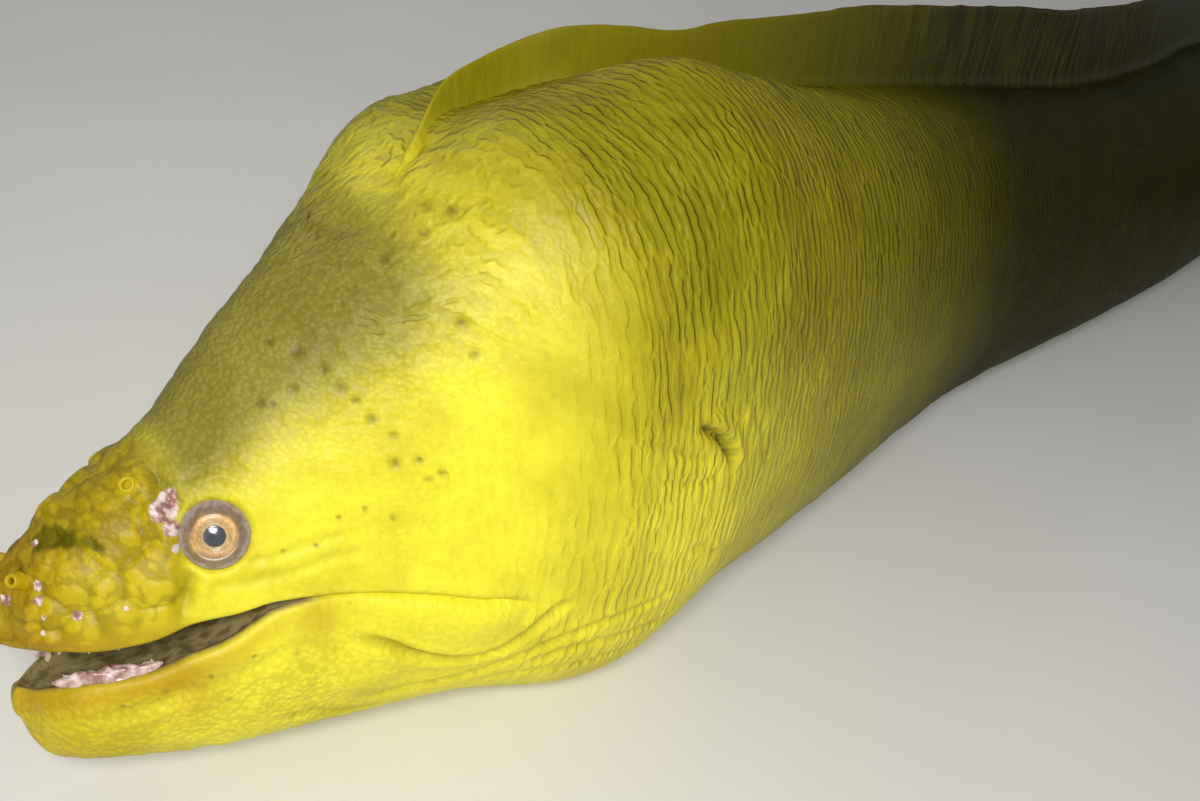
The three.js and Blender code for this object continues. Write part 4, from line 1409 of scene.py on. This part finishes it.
@dataclass
class Fins:
    """One ribbon of fin: along the back, round the tail tip and forward under the tail.

    Attributes:
        dorsal, anal: heights of the fin over the back and under the tail.
        tip: its reach behind the tail.
        fine_end, fine_step: where the closely spaced rows end, and their spacing.
        rear_rows: rows from there to the tip, and again under the tail.
        foot, edge: thickness at the foot and at the edge.
        ray_pitch, ridge: distance between the rays and how far they stand out.
        root, flare: how deep the foot is sunk in the skin, and how far it spreads there.
        depth_of_tone: share of the back's tone along the fin.
    """

    form: BodyForm
    offset: Array
    dorsal: Knots = ((160, -1), (170, 2), (185, 6), (205, 13), (225, 17), (260, 20), (300, 22),
                     (340, 27), (420, 35.5), (500, 41), (700, 46), (1000, 48), (1400, 42),
                     (1800, 26), (1990, 12))
    anal: Knots = ((1008, -1), (1020, 2), (1080, 14), (1300, 23), (1700, 20), (1990, 11))
    fine_end: float = 900.0
    fine_step: float = 1.6
    rear_rows: int = 330
    tip: float = 22.0
    foot: float = 2.6
    edge: float = 0.8
    ray_pitch: float = 6.5
    ridge: float = 0.14
    root: float = 3.0
    flare: float = 4.0
    depth_of_tone: Knots = ((160, 1.0), (240, 0.76), (400, 0.55), (700, 0.5), (1990, 0.5))

    def path(self) -> tuple[Array, Array]:
        """Way of the fin's foot: along the back, in half a circle round the tail, forward below.

        Returns:
            Distances along the spine, and the directions that the fin points in, in radians.
        """
        end = self.form.length
        front = np.arange(self.dorsal[0][0], self.fine_end, self.fine_step)
        rear = np.linspace(self.fine_end, end, self.rear_rows)
        anal = np.linspace(end, self.anal[0][0], self.rear_rows)
        arc = np.linspace(np.pi / 2, -np.pi / 2, 25)[1:-1]
        s = np.concatenate([front, rear, np.full(len(arc), end), anal])
        aim = np.concatenate([np.full(len(front) + len(rear), np.pi / 2), arc,
                              np.full(len(anal), -np.pi / 2)])
        return s, aim

    def membrane(self, run: Array, tall: Array, aim: Array) -> tuple[Array, Array, Array]:
        """The fin across its height, from the foot to the edge.

        Each ray is a low cosine ridge. The thickness falls evenly to the edge, which is rounded,
        and the foot flares out by an exponential. Noise nicks the edge and bends the whole.

        Args:
            run: distances along the foot.
            tall: heights of the fin.
            aim: directions that it points in.

        Returns:
            Distance from the foot, half thickness and sideways bend.
        """
        wave = lattice_noise(np.stack([run / 70, run * 0, run * 0], -1), 11) - 0.5
        nick = lattice_noise(np.stack([run / 11, run * 0, run * 0], -1), 12) - 0.5
        v = np.linspace(0, 1, 13)[None]
        slant = 0.35 * np.sign(aim)[:, None]
        out = -self.root * (1 - ramp(v, 0, 0.12)) + (tall + 0.7 * nick * ramp(tall, 4, 20))[:, None] * v
        ray = 0.5 + 0.5 * np.cos(2 * np.pi * (run[:, None] - slant * out) / self.ray_pitch)
        thick = (self.foot * (1 - v) + self.edge * v) / 2 + self.ridge * ray * (1 - v ** 3)
        thick = thick + self.flare * np.exp(-np.maximum(out + self.root, 0) / 3.0)
        thick = thick * np.sqrt(np.clip(1.001 - v ** 10, 0, 1)) * ramp(tall, -1, 3)[:, None]
        return out, thick, (wave * 5 * ramp(tall, 14, 44))[:, None] * v ** 2

    def build(self, skin: Skin, material: bpy.types.Material) -> bpy.types.Object:
        """Ribbon of two faces that follows the path, closed at both ends.

        Args:
            skin: gives the tone of the back at the fin's foot.
            material: finish of the fins.

        Returns:
            The piece, which replaces every length of fin.
        """
        form = self.form
        s, aim = self.path()
        ridge, crest = form.crest(s)
        up = ramp(aim, -0.2, 0.2)
        half = crest / 2
        foot_height = np.where(np.abs(aim) > 1.57, np.where(aim > 0, crest, 0),
                               half + half * np.sin(aim))
        tall = np.where(aim > 1.57, curve(self.dorsal, s), np.where(
            aim < -1.57, curve(self.anal, s),
            self.tip + (12 * up + 11 * (1 - up) - self.tip) * np.abs(np.sin(aim)) ** 3))
        run = np.concatenate([[0], np.cumsum(np.hypot(np.diff(s), np.diff(foot_height)))])
        out, thick, bend = self.membrane(run, tall, aim)
        ahead = out * np.cos(aim)[:, None] * (np.abs(aim) < 1.57)[:, None]
        height = foot_height[:, None] + out * np.sin(aim)[:, None]
        middle = (ridge * up)[:, None] + bend
        near, far = (np.stack([s[:, None] + ahead, middle + half_thick, height], -1)
                     for half_thick in (thick, -thick))
        ring = np.concatenate([near, far[:, ::-1]], 1)
        past = ring[..., 0] - np.minimum(ring[..., 0], form.length)
        p = form.place(np.minimum(ring[..., 0], form.length), ring[..., 1], ring[..., 2])
        head = math.radians(form.heading[-1][1])
        p = p + past[..., None] * np.array([math.cos(head), math.sin(head), 0])
        p[..., 2] = np.maximum(p[..., 2], 0.1)
        # The skin's tone carries its painted shade onto the fin behind the head.
        tone = skin.tone(ring) * curve(self.depth_of_tone, ring[..., 0])[..., None]
        patch = Patch(p, ring, {"tone": tone}, wrap=True)
        caps = []
        for end, order in ((slice(0, 1), 1), (slice(-1, None), -1)):
            closing = np.concatenate([fan(p[end]), p[end]][::order])
            caps.append(Patch(closing, np.repeat(ring[end], 2, 0),
                              {"tone": np.repeat(tone[end], 2, 0)}, wrap=True))
        piece = build_mesh("fin_ribbon", [patch, *caps], self.offset)
        nodes = [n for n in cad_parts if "fin" in n]
        return dress(piece, material, nodes)


# Eyes


@dataclass
class Eye:
    """Eye of one flank: skin-covered outer ring, gold iris, pupil and clear front.

    Radii are millimetres on the eye's face; the ball has the solid's radius. Steps are radius and
    8-bit screen colour.
    """

    form: BodyForm
    offset: Array
    flank: Side
    s: float = 66.0
    angle: float = 24.0
    ball: float = 14.5
    inset: float = 9.8
    opening: float = 11.6
    iris: float = 7.6
    pupil: float = 4.2
    columns: int = 72
    steps: tuple[Entry, ...] = (
        (4.3, 236, 220, 172), (4.9, 214, 186, 120), (6.4, 204, 170, 106), (7.6, 160, 124, 80),
        (8.6, 134, 114, 96), (10.0, 134, 120, 112), (11.0, 158, 148, 146), (12.5, 150, 138, 110),
    )

    def turned(self, radius: Array, out: Array) -> Patch:
        """Surface of revolution about the eye's axis from a profile of radius and height.

        Args:
            radius: radii of the profile.
            out: heights of the profile over the flank.

        Returns:
            The patch, in the model frame.
        """
        m = self.form.frame_at(self.s, self.angle, self.flank)
        a = np.linspace(0, 2 * np.pi, self.columns, endpoint=False)[None]
        axes = [np.array(m.col[k][:3]) for k in range(3)]
        p = (np.array(m.translation) + radius[:, None, None] * (
            np.cos(a)[..., None] * axes[0] + np.sin(a)[..., None] * axes[1])
            + out[:, None, None] * axes[2])
        flip = Vector(axes[0]).cross(Vector(axes[1])).dot(Vector(axes[2])) > 0
        return Patch(p, p, {"tone": self.tone(radius, p)}, flip=not flip, wrap=True)

    def tone(self, radius: Array, p: Array) -> Array:
        """Colour by distance from the axis: cream, gold, brown and grey, blurred by noise.

        Args:
            radius: radii of the profile.
            p: points of the surface.

        Returns:
            Scene colours, (rows, columns, 3).
        """
        r = radius[:, None] + 1.6 * (lattice_noise(p / 1.7, 31) - 0.5) * ramp(radius, 4.6, 6)[:, None]
        at = [step[0] for step in self.steps]
        colours = np.array([rgb(*step[1:])[:3] for step in self.steps])
        return np.stack([np.interp(r, at, colours[:, k]) for k in range(3)], -1)

    def height(self, radius: Array) -> Array:
        """Height of the ball's face over the flank at a radius from the axis."""
        return np.sqrt(np.maximum(self.ball ** 2 - radius ** 2, 0)) - self.inset

    def piece(self, kind: str, radius: Array, out: Array, material: bpy.types.Material,
              nodes: Sequence[str] = ()) -> None:
        """Turns a profile about the eye's axis and dresses it."""
        name = "%s_%s" % (kind, self.flank.name.lower())
        dress(build_mesh(name, [self.turned(radius, out)], self.offset), material, nodes)

    def build(self, outer: bpy.types.Material, iris: bpy.types.Material,
              pupil: bpy.types.Material, front: bpy.types.Material) -> None:
        """Builds the four pieces of the eye. The ring replaces the solid eye.

        Args:
            outer: finish of the ring of skin over the ball.
            iris: finish of the gold ring.
            pupil: finish of the pupil.
            front: clear finish.
        """
        r = np.linspace(self.opening + 1.5, self.iris, 26)
        ring = self.height(r) + 0.1 * np.sin((r - self.iris) * 2.1)
        around = np.linspace(0, 1.15, 12)[1:]
        face = float(self.height(self.iris))
        r = np.concatenate([[0.0], self.ball * np.sin(around), r,
                            [self.iris - 0.5, self.iris - 0.7, self.iris, 0.0]])
        z = np.concatenate([[-self.inset - self.ball], -self.inset - self.ball * np.cos(around),
                            ring, [face - 0.3, -2.0, -3.4, -3.4]])
        solid = "eye_left" if self.flank is Side.NEAR else "eye_right"
        self.piece("eye_ring", r, z, outer, [solid])
        r = np.linspace(self.iris - 0.2, self.pupil, 14)
        lip = face - 0.12
        z = lip - 0.5 * ((self.iris - r) / (self.iris - self.pupil)) ** 1.5 + 0.06 * np.sin(r * 6)
        r = np.concatenate([[self.iris - 0.2], r, [self.pupil - 0.3, self.pupil, self.iris - 0.2]])
        z = np.concatenate([[lip - 1.9], z, [z[-1] - 0.3, lip - 1.9, lip - 1.9]])
        self.piece("iris", r, z, iris)
        r = self.pupil * np.array([0.0, 0.35, 0.7, 0.95, 1.0, 0.9, 0.0])
        z = lip - 0.6 + np.array([0.35, 0.3, 0.12, -0.15, -0.5, -0.9, -1.0])
        self.piece("pupil", r, z, pupil)
        t = np.linspace(0, 1, 14)
        r = (self.iris + 0.5) * np.sin(t * np.pi / 2)
        z = self.height(r * 0.98) + 0.22 * (1 - t ** 3) - 0.35 * t ** 6
        r = np.concatenate([r, [self.iris + 0.4, 0.0]])
        z = np.concatenate([z, [float(z[-1]) - 0.35, float(self.height(0.0)) - 0.5]])
        self.piece("eye_front", r, z, front)


# Mouth and nostrils


@dataclass
class Mouth:
    """Teeth of both jaws and the lumpy gum inside the lower lip.

    Attributes:
        first, step, count: place of the first upper tooth, the spacing, and teeth to a side.
        radius: radius of a tooth.
        inset, gum_inset: how far the teeth and the gum lie inside the flank.
        reach, share: height of a tooth, and its greatest share of the mouth's opening.
        gum_ends: rear and front end of the gum.
    """

    form: BodyForm
    offset: Array
    first: float = 8.0
    step: float = 9.0
    count: int = 5
    radius: float = 1.2
    inset: float = 6.6
    reach: float = 3.0
    share: float = 0.22
    gum_ends: tuple[float, float] = (47.0, 13.0)
    gum_inset: float = 4.4

    def side_at(self, s: Array, height: Array) -> Array:
        """Side of the flank at a height."""
        return self.form.section(s, self.form.angle_at(s, height))[0]

    def teeth(self, upper: bool, material: bpy.types.Material) -> bpy.types.Object:
        """Row of pegs: each a tapering ring profile leaning back, all in one mesh.

        Args:
            upper: the teeth of the upper jaw, or the lower.
            material: their finish.

        Returns:
            The piece.
        """
        form = self.form
        start = self.first if upper else self.first + 10
        count = self.count if upper else self.count - 1
        s = np.repeat(start + self.step * np.arange(count), 2)
        sign = np.tile([1.0, -1.0], count)
        gap = curve(form.lip_gap, s)
        lip = curve(form.lip_upper, s) - (0 if upper else gap)
        up = -1.0 if upper else 1.0
        side = np.maximum(self.side_at(s, lip) - self.inset, 1.5) * sign
        reach = np.minimum(self.reach, self.share * gap)
        t = np.array([-0.9, -0.2, 0.25, 0.6, 0.85, 1.0])
        wide = self.radius * np.array([1.0, 1.05, 0.85, 0.55, 0.28, 0.0])
        a = np.linspace(0, 2 * np.pi, 12, endpoint=False)
        shape = (len(s), len(t), len(a))
        along = s[:, None, None] + wide[None, :, None] * np.cos(a) - 1.2 * t[None, :, None] ** 2
        across = side[:, None, None] + wide[None, :, None] * np.sin(a)
        height = lip[:, None, None] + up * reach[:, None, None] * t[None, :, None] + 0 * a
        straight = np.stack([np.broadcast_to(v, shape) for v in (along, across, height)], -1)
        points = form.place(straight[..., 0], straight[..., 1], straight[..., 2])
        patches = []
        for k in range(len(s)):
            tooth = np.concatenate([fan(points[k, :1]), points[k]])
            patches.append(Patch(tooth, tooth, flip=upper, wrap=True))
        name = "teeth_upper" if upper else "teeth_lower"
        return dress(build_mesh(name, patches, self.offset), material)

    def gum(self, material: bpy.types.Material) -> bpy.types.Object:
        """Lumpy strip inside each lower lip: a circle carried along it, swelled by noise.

        Args:
            material: its finish.

        Returns:
            The piece.
        """
        form = self.form
        s = np.linspace(*self.gum_ends, 70)
        lip = curve(form.lip_upper, s) - curve(form.lip_gap, s)
        side = np.maximum(self.side_at(s, lip) - self.gum_inset, 0.6)
        a = np.linspace(0, 2 * np.pi, 20, endpoint=False)[None]
        run = np.arange(len(s))[:, None]
        patches = []
        for flank in Side:
            lump = lattice_noise(np.stack([run / 5 + 0 * a, 1.6 * np.cos(a) + 0 * run + 8,
                                           1.6 * np.sin(a) + 0 * run + 8 * flank.value], -1), 21)
            wide = (1.0 + 2.9 * lump) * np.sin(np.linspace(0.03, np.pi - 0.03, len(s)))[:, None] ** 0.6
            across = flank.value * (side[:, None] + wide * np.cos(a))
            height = (lip + 0.9)[:, None] + 1.25 * wide * np.sin(a)
            p = form.place(s[:, None] + 0 * a, across, height)
            closed = np.concatenate([fan(p[:1]), p, fan(p[-1:])])
            patches.append(Patch(closed, closed, flip=flank is Side.FAR, wrap=True))
        return dress(build_mesh("gum_lower", patches, self.offset), material)


@dataclass
class Nostrils:
    """Short tube at the snout tip and raised rim over the eye, on each flank.

    Attributes:
        tube, rim: distance along the spine, angle round the section, radius, bore and height.
    """

    form: BodyForm
    offset: Array
    tube: tuple[float, float, float, float, float] = (7.0, 50.0, 2.6, 1.2, 6.0)
    rim: tuple[float, float, float, float, float] = (45.0, 60.0, 3.0, 1.7, 4.0)

    def build(self, skin: Skin, material: bpy.types.Material) -> None:
        """Surfaces of revolution: up the outside, over the rim and down the bore, with painted shade in
        the bore.

        Args:
            skin: gives the tone of the snout.
            material: finish of the skin.
        """
        for flank in Side:
            for kind, (s, angle, wide, bore, tall) in (("tube", self.tube), ("rim", self.rim)):
                r = np.array([0.0, wide + 1.6, wide + 0.7, wide, wide * 0.92, wide * 0.78, bore,
                              bore * 0.9, bore * 0.6, 0.0])
                z = np.array([-2.5, -1.2, 0.2, tall * 0.5, tall * 0.92, tall, tall * 0.93,
                              tall * 0.5, tall * 0.5 - 1.4, tall * 0.5 - 1.5])
                helper = Eye(self.form, self.offset, flank, s=s, angle=angle, columns=28)
                patch = helper.turned(r, z)
                shape = patch.points.shape[:2]
                patch.straight = np.broadcast_to(np.array([s, 20.0, 60.0]), shape + (3,))
                # Painted shade down the bore.
                painted_bore_shade = np.where(np.arange(len(r)) > 6, 0.8, 0.0)[:, None]
                patch.values = skin_values(
                    shape, dark=np.broadcast_to(painted_bore_shade, shape), grain=np.full(shape, 0.4),
                    tone=skin.tone(patch.straight), flow=patch.points * MM)
                name = "nostril_%s_%s" % (kind, flank.name.lower())
                dress(build_mesh(name, [patch], self.offset), material)


# Studio


@dataclass(frozen=True)
class Lamp:
    """Soft light: place, aim, size in metres, power in watts, colour and, if any, its cone."""

    name: str
    place: tuple[float, float, float]
    aim: tuple[float, float, float]
    size: float
    power: float
    colour: tuple[float, float, float] = (1.0, 1.0, 1.0)
    cone: float = 0.0


@dataclass
class Studio:
    """Floor, soft lights and the camera.

    Attributes:
        offset: place of the spine's origin in the model frame, millimetres.
        eye_point: place of the camera from the spine's origin, metres.
        yaw: turn of the view from +Y towards +X, radians.
        pitch: tilt below the horizon, radians.
        roll: turn about the view's axis, radians.
        focal_pixels, frame_width: focal length and width of the frame in pixels.
        sensor: width of the camera's sensor in millimetres.
        floor_size: side of the floor in metres.
        world_colour, world_strength: even light from all round.
        spot_blend: share of a cone's light that fades towards its rim.
        lamps: the soft lights.
    """

    offset: Array
    eye_point: tuple[float, float, float] = (0.0671, -0.3603, 0.4523)
    yaw: float = 0.2588
    pitch: float = 0.5845
    roll: float = 0.2493
    focal_pixels: float = 1523.8
    frame_width: float = 1200.0
    sensor: float = 36.0
    floor_size: float = 9.0
    world_colour: tuple[float, float, float, float] = (0.98, 0.99, 1.0, 1.0)
    world_strength: float = 0.2
    spot_blend: float = 0.9
    lamps: tuple[Lamp, ...] = (
        Lamp("key", (-0.04, -0.74, 0.84), (0.2, 0.08, 0.12), 0.2, 56, (1.0, 0.98, 0.94), 62.0),
        Lamp("fill", (1.0, -1.7, 1.4), (0.5, 0.2, 0.1), 2.0, 5, (0.95, 0.98, 1.0)),
        Lamp("rim", (-0.6, 1.8, 1.6), (0.4, 0.3, 0.1), 1.6, 10, (1.0, 1.0, 1.0)),
    )

    def tones(self) -> None:
        """Plain colour management, so that the yellow keeps its strength."""
        settings = bpy.context.scene.view_settings
        settings.view_transform = "Standard"
        settings.look = "None"

    def camera(self) -> None:
        """Camera from the photograph: forward, right and up from yaw, pitch and roll."""
        fwd = Vector((math.sin(self.yaw) * math.cos(self.pitch),
                      math.cos(self.yaw) * math.cos(self.pitch), -math.sin(self.pitch)))
        level = Vector((math.cos(self.yaw), -math.sin(self.yaw), 0))
        over = level.cross(fwd)
        right = level * math.cos(self.roll) + over * math.sin(self.roll)
        up = over * math.cos(self.roll) - level * math.sin(self.roll)
        lens = bpy.data.cameras.new("camera")
        lens.sensor_fit = "HORIZONTAL"
        lens.sensor_width = self.sensor
        lens.lens = self.focal_pixels / self.frame_width * self.sensor
        lens.clip_start = 0.01
        lens.clip_end = 50.0
        camera = bpy.data.objects.new("camera", lens)
        turn = Matrix((right, up, -fwd)).transposed().to_4x4()
        turn.translation = Vector(self.eye_point) + Vector(self.offset * MM)
        camera.matrix_world = turn
        bpy.context.scene.collection.objects.link(camera)
        bpy.context.scene.camera = camera

    def floor(self, material: bpy.types.Material) -> None:
        """Flat square floor just under the belly.

        Args:
            material: its finish.
        """
        h = self.floor_size / 2
        mesh = bpy.data.meshes.new("floor")
        mesh.from_pydata([(-h, -h, 0), (h, -h, 0), (h, h, 0), (-h, h, 0)], [], [(0, 1, 2, 3)])
        floor = bpy.data.objects.new("floor", mesh)
        floor.data.materials.append(material)
        bpy.context.scene.collection.objects.link(floor)

    def lights(self) -> None:
        """Soft lights, placed from the spine's origin, and an even pale world."""
        base = Vector(self.offset * MM)
        for lamp in self.lamps:
            data = bpy.data.lights.new(lamp.name, "SPOT" if lamp.cone else "AREA")
            if lamp.cone:
                data.spot_size = math.radians(lamp.cone)
                data.spot_blend = self.spot_blend
                data.shadow_soft_size = lamp.size
            else:
                data.size = lamp.size
            data.energy = lamp.power
            data.color = lamp.colour
            light = bpy.data.objects.new(lamp.name, data)
            start, end = Vector(lamp.place) + base, Vector(lamp.aim) + base
            light.location = start
            light.rotation_euler = (end - start).to_track_quat("-Z", "Y").to_euler()
            bpy.context.scene.collection.objects.link(light)
        world = bpy.data.worlds.new("studio")
        world.use_nodes = True
        back = world.node_tree.nodes["Background"]
        back.inputs[0].default_value = self.world_colour
        back.inputs[1].default_value = self.world_strength
        bpy.context.scene.world = world


def spine_origin(form: BodyForm) -> Array:
    """Place of the spine's origin in the model frame, from the solid near eye.

    Args:
        form: gives the eye's place in spine coordinates.

    Returns:
        The offset in millimetres.
    """
    probe = Eye(form, np.zeros(3), Side.NEAR)
    m = form.frame_at(probe.s, probe.angle, Side.NEAR)
    centre = np.array(m.translation) - probe.inset * np.array(m.col[2][:3])
    low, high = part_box("eye_left")
    shift = np.array((low + high) / 2) / MM - centre
    return shift * np.array([1.0, 1.0, 0.0])


def main() -> None:
    """Builds the studio, the skin, the fins, the eyes and the mouth."""
    logging.basicConfig(level=logging.INFO, format="%(name)s: %(message)s")
    form = BodyForm()
    offset = spine_origin(form)
    log.info("origin %s", np.round(offset, 2))
    studio = Studio(offset)
    studio.tones()
    studio.camera()
    studio.floor(FloorFinish().build())
    studio.lights()
    skin = Skin(form, offset)
    hide = SkinFinish().build()
    skin.build(hide)
    Fins(form, offset).build(skin, FinFinish().build())
    outer = WetFinish("eye_outer", rgb(222, 212, 200), scale=420).build()
    gold = WetFinish("iris_gold", rgb(222, 196, 156), scale=900, depth=0.0002).build()
    black = WetFinish("pupil", rgb(82, 90, 104), rgb(62, 70, 84), 300, 0.15, 0.0001).build()
    clear = ClearFinish().build()
    for flank in Side:
        Eye(form, offset, flank).build(outer, gold, black, clear)
    mouth = Mouth(form, offset)
    ivory = WetFinish("teeth", rgb(190, 174, 140), rgb(214, 202, 172), 700, 0.25).build()
    flesh = WetFinish("gum", rgb(212, 194, 188), rgb(150, 108, 98), 240, depth=0.0008).build()
    mouth.teeth(True, ivory)
    mouth.teeth(False, ivory)
    mouth.gum(flesh)
    Nostrils(form, offset).build(skin, hide)


if __name__ == "__main__":
    main()
